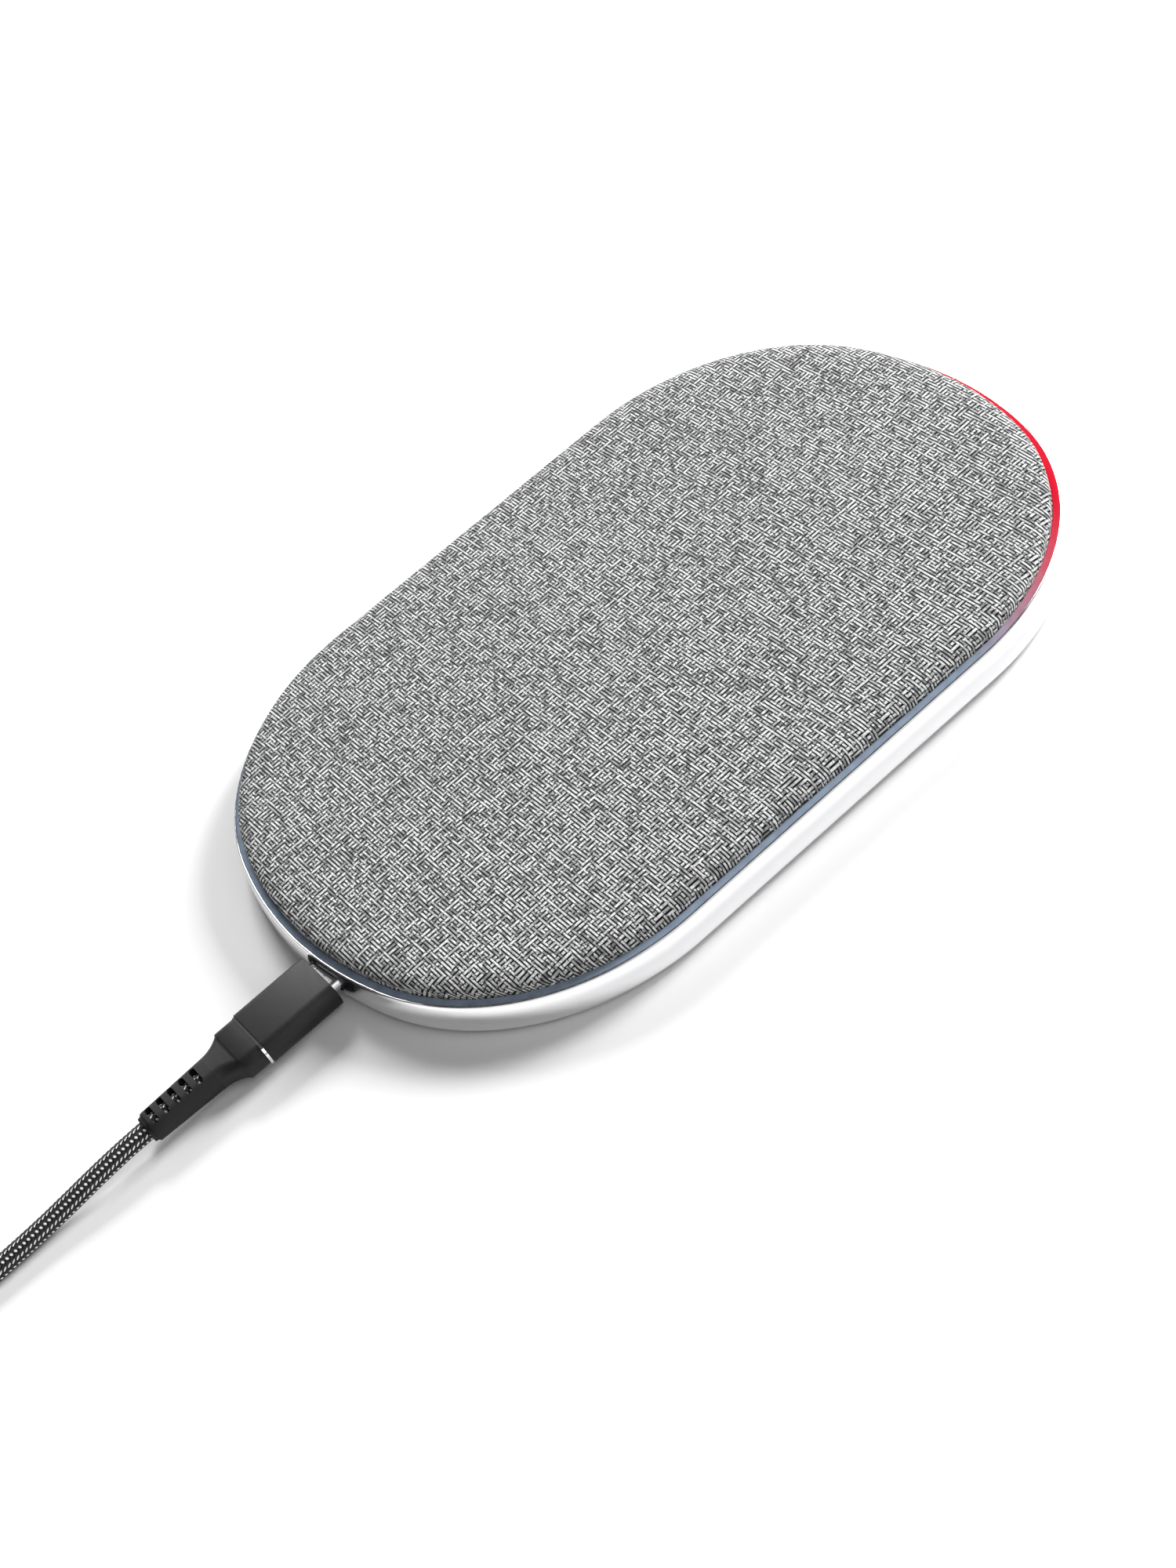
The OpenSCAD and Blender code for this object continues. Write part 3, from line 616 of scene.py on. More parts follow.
def build_crossing_threads():
    """Two sets of round threads that cross. Position is counted in threads."""
    group, given, result = new_group(
        "crossing_threads",
        [("Position", "Vector", None)],
        [("Warp crown", "Float"), ("Weft crown", "Float"), ("Warp number", "Float"),
         ("Weft number", "Float"), ("Along warp", "Float"), ("Along weft", "Float"),
         ("Warp over", "Float")],
    )
    place = add_node(group, "ShaderNodeSeparateXYZ", {"Vector": given["Position"]})
    u, v = place.outputs["X"], place.outputs["Y"]
    numbers = []
    for label, across in (("Warp", u), ("Weft", v)):
        number = calc(group, "FLOOR", across)
        off = calc(group, "SUBTRACT", calc(group, "SUBTRACT", across, number), 0.5)
        square = calc(group, "POWER", calc(group, "MULTIPLY", off, 2.05), 2.0)
        bulge = calc(group, "SUBTRACT", 1.0, square)
        crown = calc(group, "SQRT", calc(group, "MAXIMUM", bulge, 0.0))
        group.links.new(crown, result.inputs[label + " crown"])
        group.links.new(number, result.inputs[label + " number"])
        numbers.append(number)
    group.links.new(v, result.inputs["Along warp"])
    group.links.new(u, result.inputs["Along weft"])
    crossing = calc(group, "FLOORED_MODULO", calc(group, "ADD", *numbers), 2.0)
    group.links.new(crossing, result.inputs["Warp over"])
    return group


def build_fine_grain():
    """Moulded or ground surface: a slight change of tone, roughness and height."""
    group, given, result = new_group(
        "fine_grain",
        [("Grains per metre", "Float", 2500.0), ("Colour", "Color", None),
         ("Variation", "Float", 0.15), ("Roughness", "Float", 0.5), ("Spread", "Float", 0.1),
         ("Stretch", "Vector", (1, 1, 1))],
        [("Colour", "Color"), ("Roughness", "Float"), ("Height", "Float")],
    )
    spot = add_node(group, "ShaderNodeTexCoord").outputs["Object"]
    stretched = add_node(group, "ShaderNodeVectorMath", {0: spot, 1: given["Stretch"]},
                         operation="MULTIPLY").outputs[0]
    grain = add_node(group, "ShaderNodeTexNoise", {
        "Vector": stretched, "Scale": given["Grains per metre"], "Detail": 3.0, "Roughness": 0.6,
    }).outputs[0]
    patch = add_node(group, "ShaderNodeTexNoise", {
        "Vector": spot, "Scale": 90.0, "Detail": 4.0, "Roughness": 0.55,
    }).outputs[0]
    both = calc(group, "MULTIPLY_ADD", grain, 0.6, calc(group, "MULTIPLY", patch, 0.4))
    swing = calc(group, "MULTIPLY", calc(group, "SUBTRACT", both, 0.5), 2.0)
    tone = calc(group, "MULTIPLY_ADD", swing, given["Variation"], 1.0)
    shaded = add_node(group, "ShaderNodeVectorMath", {0: given["Colour"], "Scale": tone},
                      operation="SCALE").outputs[0]
    rough = calc(group, "MULTIPLY_ADD", swing, given["Spread"], given["Roughness"], clamp=True)
    group.links.new(shaded, result.inputs["Colour"])
    group.links.new(rough, result.inputs["Roughness"])
    group.links.new(grain, result.inputs["Height"])
    return group


CROSSING_THREADS = build_crossing_threads()
FINE_GRAIN = build_fine_grain()


def new_material(name, **constants):
    """A material with its Principled shader, whose constant sockets are set by name."""
    material = bpy.data.materials.new(name)
    material.use_nodes = True
    shader = material.node_tree.nodes["Principled BSDF"]
    for label, value in constants.items():
        shader.inputs[label.replace("_", " ")].default_value = value
    return material, material.node_tree, shader


def add_bump(tree, shader, height, distance, strength=1.0):
    bump = add_node(tree, "ShaderNodeBump", {
        "Height": height, "Distance": distance, "Strength": strength,
    })
    tree.links.new(bump.outputs["Normal"], shader.inputs["Normal"])


def grained(name, colour, roughness, grains=2500.0, variation=0.15, spread=0.1, depth=0.02 * MM,
            stretch=(1, 1, 1), **constants):
    """A material of one body, such as a moulding, a plating or a rubber, with its own grain."""
    material, tree, shader = new_material(name, **constants)
    grain = add_node(tree, "ShaderNodeGroup", node_tree=FINE_GRAIN)
    for label, value in (("Grains per metre", grains), ("Colour", (*colour, 1)),
                         ("Variation", variation), ("Roughness", roughness),
                         ("Spread", spread), ("Stretch", stretch)):
        grain.inputs[label].default_value = value
    tree.links.new(grain.outputs["Colour"], shader.inputs["Base Color"])
    tree.links.new(grain.outputs["Roughness"], shader.inputs["Roughness"])
    add_bump(tree, shader, grain.outputs["Height"], depth)
    return material


# ---------- materials ----------

def heathered_cloth():
    """Black and white mixed cloth: short floats of pale yarn, some along X and some along Y, with
    painted shade darkening each thread's flanks and the gaps between threads.
    """
    material, tree, shader = new_material(
        "heathered_cloth", Sheen_Weight=0.02, Sheen_Roughness=0.5, Specular_IOR_Level=0.03,
        Roughness=0.95,
    )
    spot = add_node(tree, "ShaderNodeUVMap", uv_map="uv").outputs["UV"]
    drift = add_node(tree, "ShaderNodeTexNoise", {"Vector": spot, "Scale": 60.0, "Detail": 2.0})
    wander = add_node(tree, "ShaderNodeVectorMath", {0: drift.outputs["Color"], 1: (0.5, 0.5, 0.5)},
                      operation="SUBTRACT").outputs[0]
    bent = add_node(tree, "ShaderNodeVectorMath", {0: wander, 1: (0.0005, 0.0005, 0), 2: spot},
                    operation="MULTIPLY_ADD").outputs[0]
    threads = add_node(tree, "ShaderNodeVectorMath",
                       {0: bent, 1: (1 / WARP_PITCH, 1 / WEFT_PITCH, 1)},
                       operation="MULTIPLY").outputs[0]
    weave = add_node(tree, "ShaderNodeGroup", {"Position": threads},
                     node_tree=CROSSING_THREADS).outputs
    floats = []
    shades = []
    for number, along, depth in (
        ("Warp number", "Along warp", 3.0), ("Weft number", "Along weft", 9.0),
    ):
        yarn = add_node(tree, "ShaderNodeCombineXYZ", {
            "X": calc(tree, "MULTIPLY", weave[number], 0.65),
            "Y": calc(tree, "MULTIPLY", weave[along], 0.3),
            "Z": depth,
        }).outputs[0]
        floats.append(add_node(tree, "ShaderNodeTexNoise", {
            "Vector": yarn, "Scale": 1.0, "Detail": 1.5, "Roughness": 0.6,
        }).outputs[0])
        dash = add_node(tree, "ShaderNodeCombineXYZ", {
            "X": weave[number],
            "Y": calc(tree, "FLOOR", calc(tree, "MULTIPLY_ADD", weave[number], 0.37,
                                          calc(tree, "MULTIPLY", weave[along], 0.7))),
            "Z": depth,
        }).outputs[0]
        shades.append(add_node(tree, "ShaderNodeTexWhiteNoise", {"Vector": dash}).outputs["Value"])
    lead = calc(tree, "SUBTRACT", *floats)
    nudge = calc(tree, "MULTIPLY_ADD", weave["Warp over"], 0.12, -0.03)
    warp_first = calc(tree, "GREATER_THAN", calc(tree, "ADD", lead, nudge), 0.0)
    crown = add_node(tree, "ShaderNodeMix", {
        0: warp_first, 2: weave["Weft crown"], 3: weave["Warp crown"],
    }).outputs[0]
    nap = add_node(tree, "ShaderNodeTexNoise", {
        "Vector": threads, "Scale": 1.3, "Detail": 3.0, "Roughness": 0.7,
    }).outputs[0]
    shade_now = add_node(tree, "ShaderNodeMix", {
        0: warp_first, 2: shades[1], 3: shades[0],
    }).outputs[0]
    tone = calc(tree, "MULTIPLY", between(tree, shade_now, 0.0, 0.7, 0.3, 1.0),
                between(tree, nap, 0.32, 0.56, 0.45, 1.0))
    # painted shade: each thread is pale only along its crown, and its flanks and the gaps between
    # threads are painted near-black; tone adds the yarn's own dark dashes and nap
    pale = calc(tree, "MULTIPLY", between(tree, crown, 0.66, 0.97, smooth=True), tone)
    colour = blend(tree, pale, (0.004, 0.004, 0.0045, 1), (0.74, 0.745, 0.745, 1))
    tree.links.new(colour, shader.inputs["Base Color"])
    add_bump(tree, shader, crown, 0.12 * MM, 0.6)
    return material


def braided_nylon():
    """Black braid with rows of short pale flecks, its strands painted lighter on their crowns and
    darker between them as shade. The UV counts turns round and rings along.
    """
    material, tree, shader = new_material(
        "braided_nylon", Sheen_Weight=0.1, Sheen_Roughness=0.4, Specular_IOR_Level=0.25,
        Roughness=0.6,
    )
    spot = add_node(tree, "ShaderNodeUVMap", uv_map="uv").outputs["UV"]
    place = add_node(tree, "ShaderNodeSeparateXYZ", {"Vector": spot})
    around = calc(tree, "MULTIPLY", place.outputs["X"], FLECK_ROWS)
    row = calc(tree, "FLOOR", around)
    across = calc(tree, "SUBTRACT", calc(tree, "SUBTRACT", around, row), 0.5)
    odd = calc(tree, "FLOORED_MODULO", row, 2.0)
    lean = calc(tree, "MULTIPLY_ADD", odd, -0.9, 0.45)
    along = calc(tree, "MULTIPLY", place.outputs["Y"], CORD_RING_STEP / FLECK_PITCH)
    stepped = calc(tree, "MULTIPLY_ADD", odd, 0.5, along)
    slanted = calc(tree, "MULTIPLY_ADD", across, 0.55, stepped)
    off = calc(tree, "SUBTRACT", calc(tree, "FRACT", slanted), 0.5)
    sideways = calc(tree, "MULTIPLY_ADD", off, lean, across)
    wide = calc(tree, "POWER", calc(tree, "DIVIDE", sideways, 0.18), 2.0)
    long = calc(tree, "POWER", calc(tree, "DIVIDE", off, 0.32), 2.0)
    fleck = between(tree, calc(tree, "ADD", wide, long), 1.25, 0.7)
    threads = add_node(tree, "ShaderNodeCombineXYZ", {
        "X": calc(tree, "ADD", around, along), "Y": calc(tree, "SUBTRACT", around, along),
    }).outputs[0]
    weave = add_node(tree, "ShaderNodeGroup", {"Position": threads},
                     node_tree=CROSSING_THREADS).outputs
    crown = add_node(tree, "ShaderNodeMix", {
        0: weave["Warp over"], 2: weave["Weft crown"], 3: weave["Warp crown"],
    }).outputs[0]
    # painted shade: the black strands are painted lighter on their crowns and darker where they dip
    # between each other
    black = blend(tree, crown, (0.004, 0.004, 0.005, 1), (0.018, 0.018, 0.020, 1))
    tree.links.new(blend(tree, fleck, black, (0.85, 0.85, 0.85, 1)), shader.inputs["Base Color"])
    add_bump(tree, shader, crown, 0.2 * MM, 0.8)
    return material


def lit_diffuser():
    """Frosted light guide: slate grey where it is dark, red round the lit +X end."""
    material, tree, shader = new_material(
        "lit_diffuser", Roughness=0.6, Specular_IOR_Level=0.05, Emission_Strength=1.0,
    )
    spot = add_node(tree, "ShaderNodeTexCoord").outputs["Object"]
    place = add_node(tree, "ShaderNodeSeparateXYZ", {"Vector": spot})
    lit = between(tree, place.outputs["X"], 30 * MM, 72 * MM, smooth=True)
    haze = add_node(tree, "ShaderNodeTexNoise", {"Vector": spot, "Scale": 400.0, "Detail": 2.0})
    mottled = between(tree, haze.outputs[0], 0.3, 0.7, 0.85, 1.1)
    cold = add_node(tree, "ShaderNodeVectorMath", {0: (0.26, 0.32, 0.41), "Scale": mottled},
                    operation="SCALE").outputs[0]
    body = blend(tree, lit, cold, (0.14, 0.002, 0.008, 1))
    glow = blend(tree, lit, (0, 0, 0, 1), (0.60, 0.002, 0.018, 1))
    tree.links.new(body, shader.inputs["Base Color"])
    tree.links.new(glow, shader.inputs["Emission Color"])
    add_bump(tree, shader, haze.outputs[0], 0.01 * MM)
    return material


def circuit_board(name, mask, copper_tint):
    """Solder mask with copper tracks under it and a scatter of bare vias."""
    material, tree, shader = new_material(name, Coat_Weight=0.4, Coat_Roughness=0.15)
    spot = add_node(tree, "ShaderNodeTexCoord").outputs["Object"]
    tracks = add_node(tree, "ShaderNodeTexBrick", {
        "Vector": spot, "Scale": 240.0, "Mortar Size": 0.06, "Mortar Smooth": 0.15,
        "Color1": (0, 0, 0, 1), "Color2": (0, 0, 0, 1), "Mortar": (1, 1, 1, 1),
        "Brick Width": 0.9, "Row Height": 0.28,
    }).outputs["Color"]
    holes = add_node(tree, "ShaderNodeTexVoronoi", {"Vector": spot, "Scale": 520.0})
    via = calc(tree, "LESS_THAN", holes.outputs["Distance"], 0.13)
    base = blend(tree, tracks, (*mask, 1), (*copper_tint, 1))
    colour = blend(tree, via, base, (0.80, 0.62, 0.25, 1))
    tree.links.new(colour, shader.inputs["Base Color"])
    tree.links.new(calc(tree, "MULTIPLY", via, 0.9), shader.inputs["Metallic"])
    tree.links.new(between(tree, tracks, 0, 1, 0.42, 0.3), shader.inputs["Roughness"])
    add_bump(tree, shader, tracks, 0.03 * MM, 0.6)
    return material


def tipped_capacitor():
    """Ceramic blocks with tinned ends along Y."""
    material, tree, shader = new_material("tipped_capacitor", Specular_IOR_Level=0.4)
    place = add_node(tree, "ShaderNodeSeparateXYZ", {
        "Vector": add_node(tree, "ShaderNodeTexCoord").outputs["Object"],
    })
    end = calc(tree, "GREATER_THAN", calc(tree, "ABSOLUTE", place.outputs["Y"]), 1.05 * MM)
    grain = add_node(tree, "ShaderNodeTexNoise", {"Scale": 1800.0, "Detail": 3.0})
    tone = between(tree, grain.outputs[0], 0.3, 0.7, 0.85, 1.1)
    ceramic = add_node(tree, "ShaderNodeVectorMath", {0: (0.42, 0.29, 0.17), "Scale": tone},
                       operation="SCALE").outputs[0]
    tree.links.new(blend(tree, end, ceramic, (0.75, 0.75, 0.76, 1)), shader.inputs["Base Color"])
    tree.links.new(calc(tree, "MULTIPLY", end, 0.95), shader.inputs["Metallic"])
    tree.links.new(between(tree, end, 0, 1, 0.55, 0.28), shader.inputs["Roughness"])
    add_bump(tree, shader, grain.outputs[0], 0.02 * MM)
    return material


def hook_strap():
    """Woven strap with a fuzzy loop face, painted darker in its hollows as shade."""
    material, tree, shader = new_material(
        "hook_strap", Roughness=0.9, Sheen_Weight=0.5, Sheen_Roughness=0.6,
    )
    spot = add_node(tree, "ShaderNodeTexCoord").outputs["Object"]
    fuzz = add_node(tree, "ShaderNodeTexNoise", {"Vector": spot, "Scale": 2600.0, "Detail": 4.0})
    ribs = add_node(tree, "ShaderNodeTexWave", {
        "Vector": spot, "Scale": 320.0, "Distortion": 3.0, "Detail": 2.0,
    })
    height = calc(tree, "MULTIPLY", fuzz.outputs[0], ribs.outputs["Fac"])
    # painted shade: the loop face is painted darker where the fuzz and ribs dip and lighter on
    # their tops, following the bump
    tree.links.new(blend(tree, height, (0.006, 0.006, 0.007, 1), (0.05, 0.05, 0.052, 1)),
                   shader.inputs["Base Color"])
    add_bump(tree, shader, height, 0.2 * MM)
    return material


def enamelled_wire(name, colour):
    return grained(name, colour, 0.22, grains=700.0, variation=0.25, spread=0.08,
                   depth=0.01 * MM, Metallic=1.0, Coat_Weight=0.6, Coat_Roughness=0.12)


MATERIALS = {
    "cloth": heathered_cloth(),
    "braid": braided_nylon(),
    "diffuser": lit_diffuser(),
    "aluminium": grained("polished_aluminium", (0.90, 0.90, 0.91), 0.13, grains=900.0,
                         variation=0.03, spread=0.06, depth=0.002 * MM, Metallic=1.0),
    "black_moulding": grained("black_moulding", (0.018, 0.018, 0.020), 0.55, depth=0.03 * MM),
    "tray": grained("natural_moulding", (0.72, 0.71, 0.66), 0.5, grains=1800.0, variation=0.06),
    "rubber": grained("foot_rubber", (0.013, 0.013, 0.014), 0.82, grains=4200.0, variation=0.3,
                      depth=0.05 * MM),
    "plug": grained("plug_plastic", (0.014, 0.014, 0.015), 0.5, grains=1500.0, variation=0.3,
                    spread=0.12, depth=0.012 * MM, stretch=(1, 0.25, 1), Specular_IOR_Level=0.3),
    "relief": grained("relief_rubber", (0.012, 0.012, 0.013), 0.6, grains=2600.0,
                      variation=0.25, depth=0.03 * MM, Specular_IOR_Level=0.3),
    "chrome": grained("seam_chrome", (0.86, 0.86, 0.88), 0.12, variation=0.03, spread=0.05,
                      depth=0.002 * MM, Metallic=1.0),
    "plated": grained("plated_steel", (0.74, 0.74, 0.75), 0.26, grains=1600.0, variation=0.06,
                      spread=0.12, depth=0.006 * MM, stretch=(0.2, 1, 1), Metallic=1.0),
    "copper": enamelled_wire("enamelled_copper", (0.80, 0.33, 0.13)),
    "ferrite": grained("sintered_ferrite", (0.055, 0.055, 0.060), 0.6, grains=900.0,
                       variation=0.45, depth=0.04 * MM),
    "thermal": grained("thermal_sheet", (0.50, 0.53, 0.58), 0.75, grains=3200.0, variation=0.2,
                       depth=0.05 * MM),
    "board": circuit_board("green_board", (0.010, 0.085, 0.038), (0.035, 0.17, 0.07)),
    "light_board": circuit_board("white_board", (0.80, 0.80, 0.76), (0.68, 0.69, 0.66)),
    "chip": grained("chip_epoxy", (0.022, 0.022, 0.024), 0.5, grains=5200.0, variation=0.35,
                    depth=0.03 * MM),
    "inductor": grained("pressed_inductor", (0.12, 0.12, 0.13), 0.62, grains=3600.0,
                        variation=0.5, depth=0.06 * MM),
    "capacitor": tipped_capacitor(),
    "led": grained("led_lens", (0.85, 0.78, 0.45), 0.2, variation=0.08, Coat_Weight=0.6),
    "red_wire": grained("red_wire", (0.42, 0.012, 0.012), 0.4, variation=0.1),
    "black_steel": grained("black_screw", (0.10, 0.10, 0.11), 0.34, grains=2200.0,
                           variation=0.2, Metallic=1.0),
    "nickel": grained("nickel_screw", (0.68, 0.66, 0.62), 0.24, grains=2200.0,
                      variation=0.08, Metallic=1.0),
    "gold": grained("contact_gold", (0.83, 0.62, 0.25), 0.2, variation=0.06, spread=0.06,
                    depth=0.004 * MM, Metallic=1.0),
    "white_plastic": grained("tongue_white", (0.82, 0.82, 0.80), 0.42, variation=0.05),
    "strap": hook_strap(),
}


# ---------- repeated shapes, made with geometry nodes ----------

def new_shape_tree(name, inputs):
    """A geometry node tree with named number inputs."""
    tree = bpy.data.node_groups.new(name, "GeometryNodeTree")
    tree.interface.new_socket("Geometry", in_out="INPUT", socket_type="NodeSocketGeometry")
    for label, kind in inputs:
        tree.interface.new_socket(label, in_out="INPUT", socket_type="NodeSocket" + kind)
    tree.interface.new_socket("Geometry", in_out="OUTPUT", socket_type="NodeSocketGeometry")
    return tree, add_node(tree, "NodeGroupInput").outputs


def end_shape_tree(tree, shape, material):
    whole = add_node(tree, "GeometryNodeRealizeInstances", {"Geometry": shape}).outputs[0]
    done = add_node(tree, "GeometryNodeSetMaterial", {"Geometry": whole, "Material": material})
    add_node(tree, "NodeGroupOutput", {"Geometry": done.outputs[0]})


def run_shape_tree(name, tree, values, points):
    """Runs a tree on a mesh of loose points and keeps the result as a plain mesh."""
    mesh = bpy.data.meshes.new(name)
    mesh.from_pydata([tuple(point) for point in points], [], [])
    piece = add_mesh(name, mesh)
    shape = piece.modifiers.new("shape", "NODES")
    shape.node_group = tree
    for item in tree.interface.items_tree:
        if item.item_type == "SOCKET" and item.in_out == "INPUT" and item.name in values:
            shape[item.identifier] = values[item.name]
    bake_modifiers(piece)
    piece.data.shade_smooth()
    return piece


def winding_tree():
    """A flat spiral of round wire, closed in one piece, at each given point."""
    tree, given = new_shape_tree("spiral_winding", [
        ("Turns", "Float"), ("Inner radius", "Float"), ("Outer radius", "Float"),
        ("Wire radius", "Float"),
    ])
    spiral = add_node(tree, "GeometryNodeCurveSpiral", {
        "Resolution": 96, "Rotations": given["Turns"], "Start Radius": given["Inner radius"],
        "End Radius": given["Outer radius"], "Height": 0.0,
    }).outputs[0]
    section = add_node(tree, "GeometryNodeCurvePrimitiveCircle", {
        "Resolution": 8, "Radius": given["Wire radius"],
    }).outputs["Curve"]
    wire = add_node(tree, "GeometryNodeCurveToMesh", {
        "Curve": spiral, "Profile Curve": section, "Fill Caps": True,
    }).outputs[0]
    placed = add_node(tree, "GeometryNodeInstanceOnPoints", {
        "Points": given["Geometry"], "Instance": wire,
    }).outputs[0]
    end_shape_tree(tree, placed, MATERIALS["copper"])
    return tree


def make_windings():
    tree = winding_tree()
    for side in ("left", "right"):
        low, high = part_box("coil_" + side)
        centre = (low + high) / 2
        wire = (high.z - low.z) / 2 - 0.02 * MM
        coil = run_shape_tree("winding_" + side, tree, {
            "Turns": 10.0, "Inner radius": WINDING_BORE + wire,
            "Outer radius": high.x - centre.x - wire, "Wire radius": wire * 0.98,
        }, [centre])
        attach(coil, "pad")
        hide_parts("coil_" + side)


def leg_tree():
    """A row of legs along Y at each given point."""
    tree, given = new_shape_tree("chip_legs", [
        ("Legs", "Int"), ("Pitch", "Float"), ("Leg size", "Vector"),
    ])
    leg = add_node(tree, "GeometryNodeMeshCube", {"Size": given["Leg size"]}).outputs["Mesh"]
    step = add_node(tree, "ShaderNodeCombineXYZ", {"Y": given["Pitch"]}).outputs[0]
    count_less_one = calc(tree, "SUBTRACT", given["Legs"], 1.0)
    half_row = calc(tree, "MULTIPLY", calc(tree, "MULTIPLY", count_less_one, given["Pitch"]), -0.5)
    row = add_node(tree, "GeometryNodeMeshLine", {
        "Count": given["Legs"], "Offset": step,
        "Start Location": add_node(tree, "ShaderNodeCombineXYZ", {"Y": half_row}).outputs[0],
    }, mode="OFFSET").outputs[0]
    legs = add_node(tree, "GeometryNodeInstanceOnPoints", {
        "Points": row, "Instance": leg,
    }).outputs[0]
    placed = add_node(tree, "GeometryNodeInstanceOnPoints", {
        "Points": given["Geometry"], "Instance": legs,
    }).outputs[0]
    end_shape_tree(tree, placed, MATERIALS["nickel"])
    return tree


def loose_boxes(node):
    """The boxes of a CAD node's separate solids."""
    copy = bmesh.new()
    copy.from_mesh(nodes[node].data)
    bmesh.ops.remove_doubles(copy, verts=copy.verts, dist=1e-6)
    left = set(copy.verts)
    boxes = []
    while left:
        island, queue = set(), [left.pop()]
        while queue:
            vert = queue.pop()
            island.add(vert)
            for edge in vert.link_edges:
                other = edge.other_vert(vert)
                if other in left:
                    left.discard(other)
                    queue.append(other)
        boxes.append((
            Vector([min(v.co[i] for v in island) for i in range(3)]),
            Vector([max(v.co[i] for v in island) for i in range(3)]),
        ))
    copy.free()
    return sorted(boxes, key=lambda box: box[0].to_tuple())


def make_legs():
    tree = leg_tree()
    for name, node, count, pitch in (
        ("controller_legs", "charge_controllers", 10, 0.62 * MM),
        ("driver_legs", "power_drivers", 6, 0.9 * MM),
    ):
        points = []
        for low, high in loose_boxes(node):
            middle = (low + high) / 2
            for x in (low.x - LEG_OUT / 2, high.x + LEG_OUT / 2):
                points.append((x, middle.y, low.z + LEG_HIGH / 2))
        legs = run_shape_tree(name, tree, {
            "Legs": count, "Pitch": pitch, "Leg size": (LEG_OUT, pitch * 0.45, LEG_HIGH),
        }, points)
        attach(legs, "pad")


def dome_tree():
    """A flattened dome on each light."""
    tree, given = new_shape_tree("light_domes", [("Dome radius", "Float")])
    ball = add_node(tree, "GeometryNodeMeshUVSphere", {
        "Segments": 20, "Rings": 10, "Radius": given["Dome radius"],
    }).outputs["Mesh"]
    flat = add_node(tree, "GeometryNodeTransform", {"Geometry": ball, "Scale": (1.0, 1.0, 0.45)})
    placed = add_node(tree, "GeometryNodeInstanceOnPoints", {
        "Points": given["Geometry"], "Instance": flat.outputs[0],
    }).outputs[0]
    end_shape_tree(tree, placed, MATERIALS["led"])
    return tree


def make_domes():
    tree = dome_tree()
    for side in ("left", "right"):
        points = [
            ((low.x + high.x) / 2, (low.y + high.y) / 2, high.z)
            for low, high in loose_boxes("lights_" + side)
        ]
        domes = run_shape_tree("light_domes_" + side, tree, {"Dome radius": DOME_RADIUS}, points)
        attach(domes, "pad")


# ---------- the pieces ----------

cloth_cover, cloth_cut = make_cloth()
shade(cloth_cover, MATERIALS["cloth"], 60)
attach(cloth_cover, "pad")
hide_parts("fabric_cover")

polished_rim = cut_port(make_swept_ring("polished_rim", rim_section()))
shade(polished_rim, MATERIALS["aluminium"])
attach(polished_rim, "pad")
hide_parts("rim_frame")

make_windings()
make_legs()
make_domes()

plug_housing = soft_bar("plug_housing", "usb_c_housing", 2.3 * MM, 0.25 * MM)
plug_rear = make_plug_rear()
slotted_relief = make_slotted_relief()
cord_strap = make_strap()
usb_a_low, usb_a_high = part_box("usb_a_housing")
usb_a_grip = soft_bar("usb_a_grip", "usb_a_housing", 2.6 * MM, 0.5 * MM,
                      (usb_a_low.y + usb_a_high.y) / 2, (usb_a_low.z + usb_a_high.z) / 2)

for piece, material, node, slot in (
    (plug_housing, "plug", "usb_c_housing", "plug_plastic"),
    (plug_rear, "plug", "usb_c_rear_housing", "plug_plastic"),
    (slotted_relief, "relief", "strain_relief", "relief_rubber"),
    (cord_strap, "strap", "cord_tie", "tie_strap"),
    (usb_a_grip, "plug", "usb_a_housing", "plug_plastic"),
):
    shade(piece, MATERIALS[material], 40)
    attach(piece, "cable")
    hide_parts(node)

shade(braided_cord, MATERIALS["braid"], 80)
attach(braided_cord, "cable")
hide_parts("cord", "cord_coil", "cord_tail")

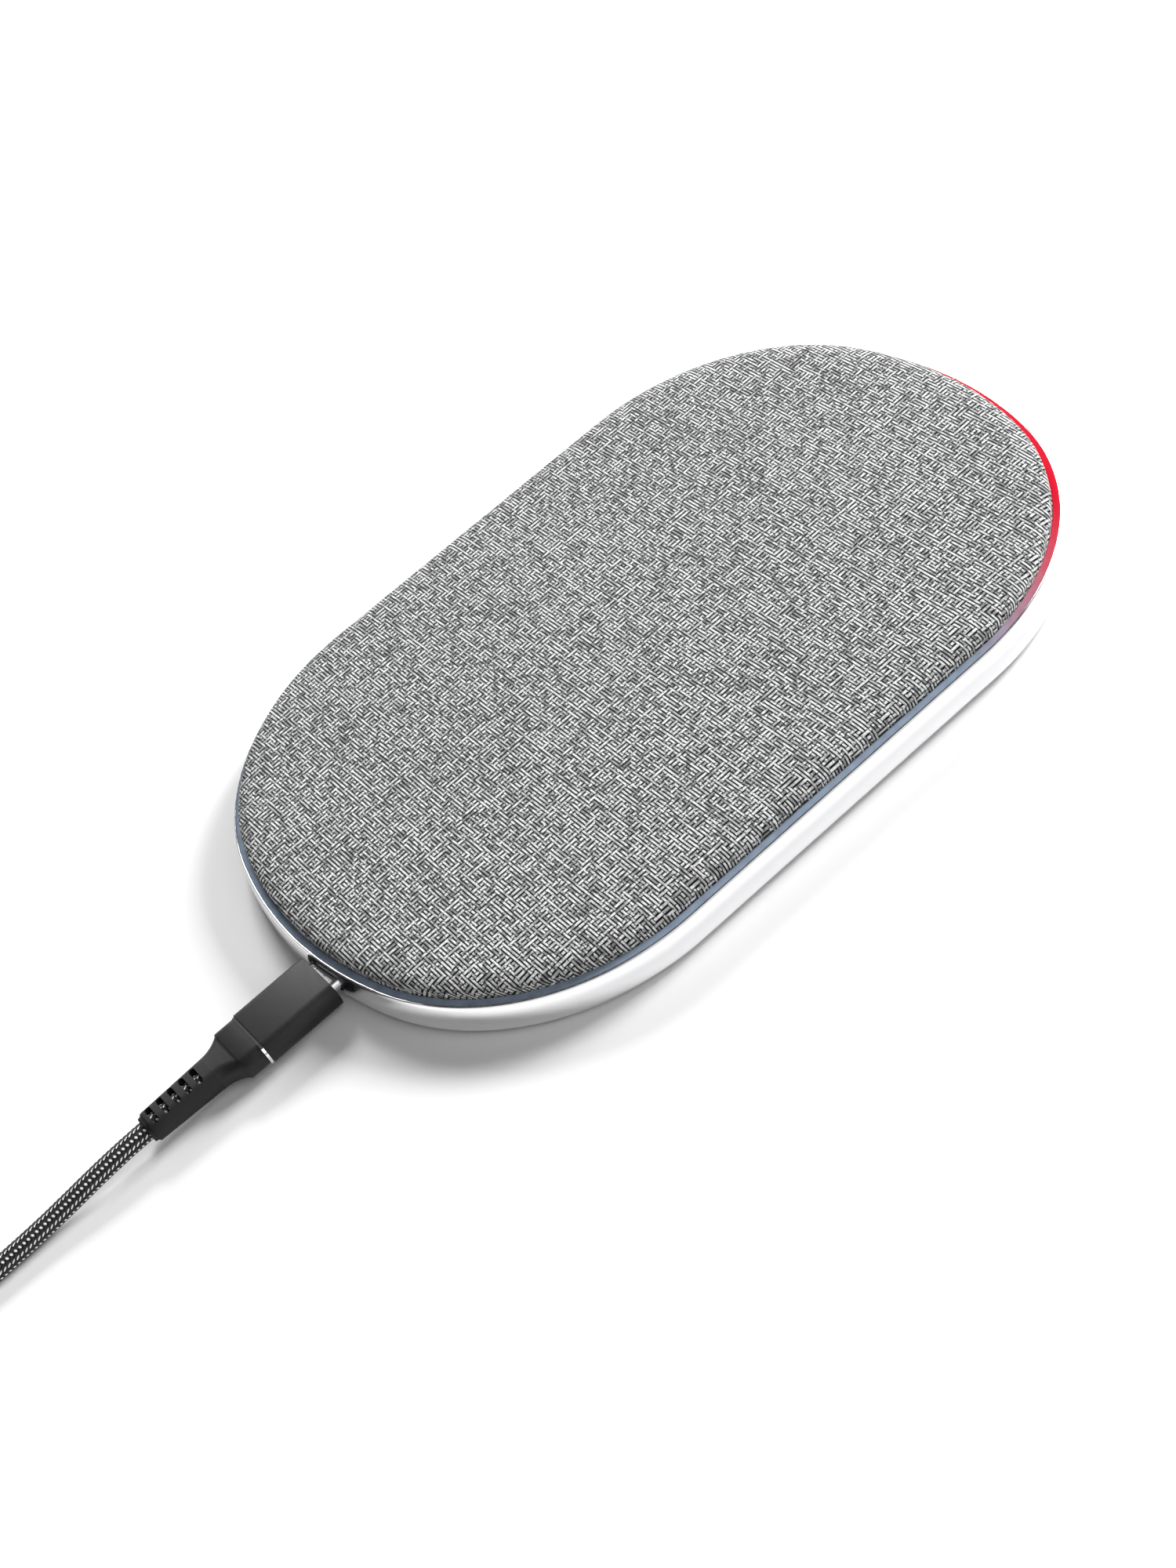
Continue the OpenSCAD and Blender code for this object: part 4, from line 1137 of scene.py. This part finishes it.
NODE_MATERIALS = {
    "black_moulding": ("top_plate", "base_plate"),
    "diffuser": ("light_ring",),
    "rubber": ("foot_front_left", "foot_front_right", "foot_rear_left", "foot_rear_right"),
    "ferrite": ("ferrite_left", "ferrite_right"),
    "thermal": ("thermal_sheet_left", "thermal_sheet_right"),
    "tray": ("coil_tray_left", "coil_tray_right"),
    "copper": ("coil_leads_left", "coil_leads_right"),
    "chip": ("coil_sensors", "charge_controllers", "power_drivers", "usb_socket_tongue"),
    "board": ("main_board", "usb_board"),
    "inductor": ("power_inductors",),
    "capacitor": ("tuning_capacitors",),
    "light_board": ("light_board_left", "light_board_right"),
    "white_plastic": ("lights_left", "lights_right", "usb_a_tongue"),
    "plated": ("usb_socket_shell", "usb_c_shell", "usb_a_shell"),
    "red_wire": ("power_wires",),
    "black_steel": ("case_screws",),
    "nickel": ("board_screws",),
    "chrome": ("usb_c_seam_ring",),
    "relief": ("usb_a_relief",),
    "gold": ("usb_a_contacts",),
}
for material, names in NODE_MATERIALS.items():
    for name in names:
        nodes[name].data.materials.clear()
        nodes[name].data.materials.append(MATERIALS[material])


# ---------- studio ----------

HORIZON_GLOW = 0.9
ZENITH_GLOW = 0.07


def make_floor():
    floor = bmesh.new()
    bmesh.ops.create_grid(floor, x_segments=1, y_segments=1, size=4.0)
    piece = add_mesh("studio_floor", floor)
    material, _, _ = new_material(
        "studio_floor", Base_Color=(0.93, 0.93, 0.93, 1), Roughness=0.9, Specular_IOR_Level=0.0,
    )
    piece.data.materials.append(material)


def add_softbox(name, place, size, power):
    """A square light panel that faces the pad."""
    light = bpy.data.lights.new(name, "AREA")
    light.size = size
    light.energy = power
    lamp = bpy.data.objects.new(name, light)
    lamp.location = place
    lamp.rotation_mode = "QUATERNION"
    lamp.rotation_quaternion = (-Vector(place)).to_track_quat("-Z", "Y")
    bpy.context.scene.collection.objects.link(lamp)


def make_studio():
    """Pale floor, three soft panels, and a sky that is bright only near the horizon."""
    make_floor()
    add_softbox("key_light", (0.5, 1.2, 0.8), 0.5, 23)
    add_softbox("side_light", (1.25, -0.05, 0.65), 0.5, 30)
    add_softbox("fill_light", (0.3, -1.0, 1.0), 1.3, 7)
    world = bpy.data.worlds.new("studio")
    bpy.context.scene.world = world
    world.use_nodes = True
    sky = world.node_tree
    background = sky.nodes["Background"]
    background.inputs["Color"].default_value = (1, 1, 1, 1)
    look = add_node(sky, "ShaderNodeSeparateXYZ", {
        "Vector": add_node(sky, "ShaderNodeTexCoord").outputs["Generated"],
    })
    glow = between(sky, look.outputs["Z"], 0.02, 0.35, HORIZON_GLOW, ZENITH_GLOW, smooth=True)
    sky.links.new(glow, background.inputs["Strength"])
    bpy.context.scene.view_settings.view_transform = "Standard"


make_studio()
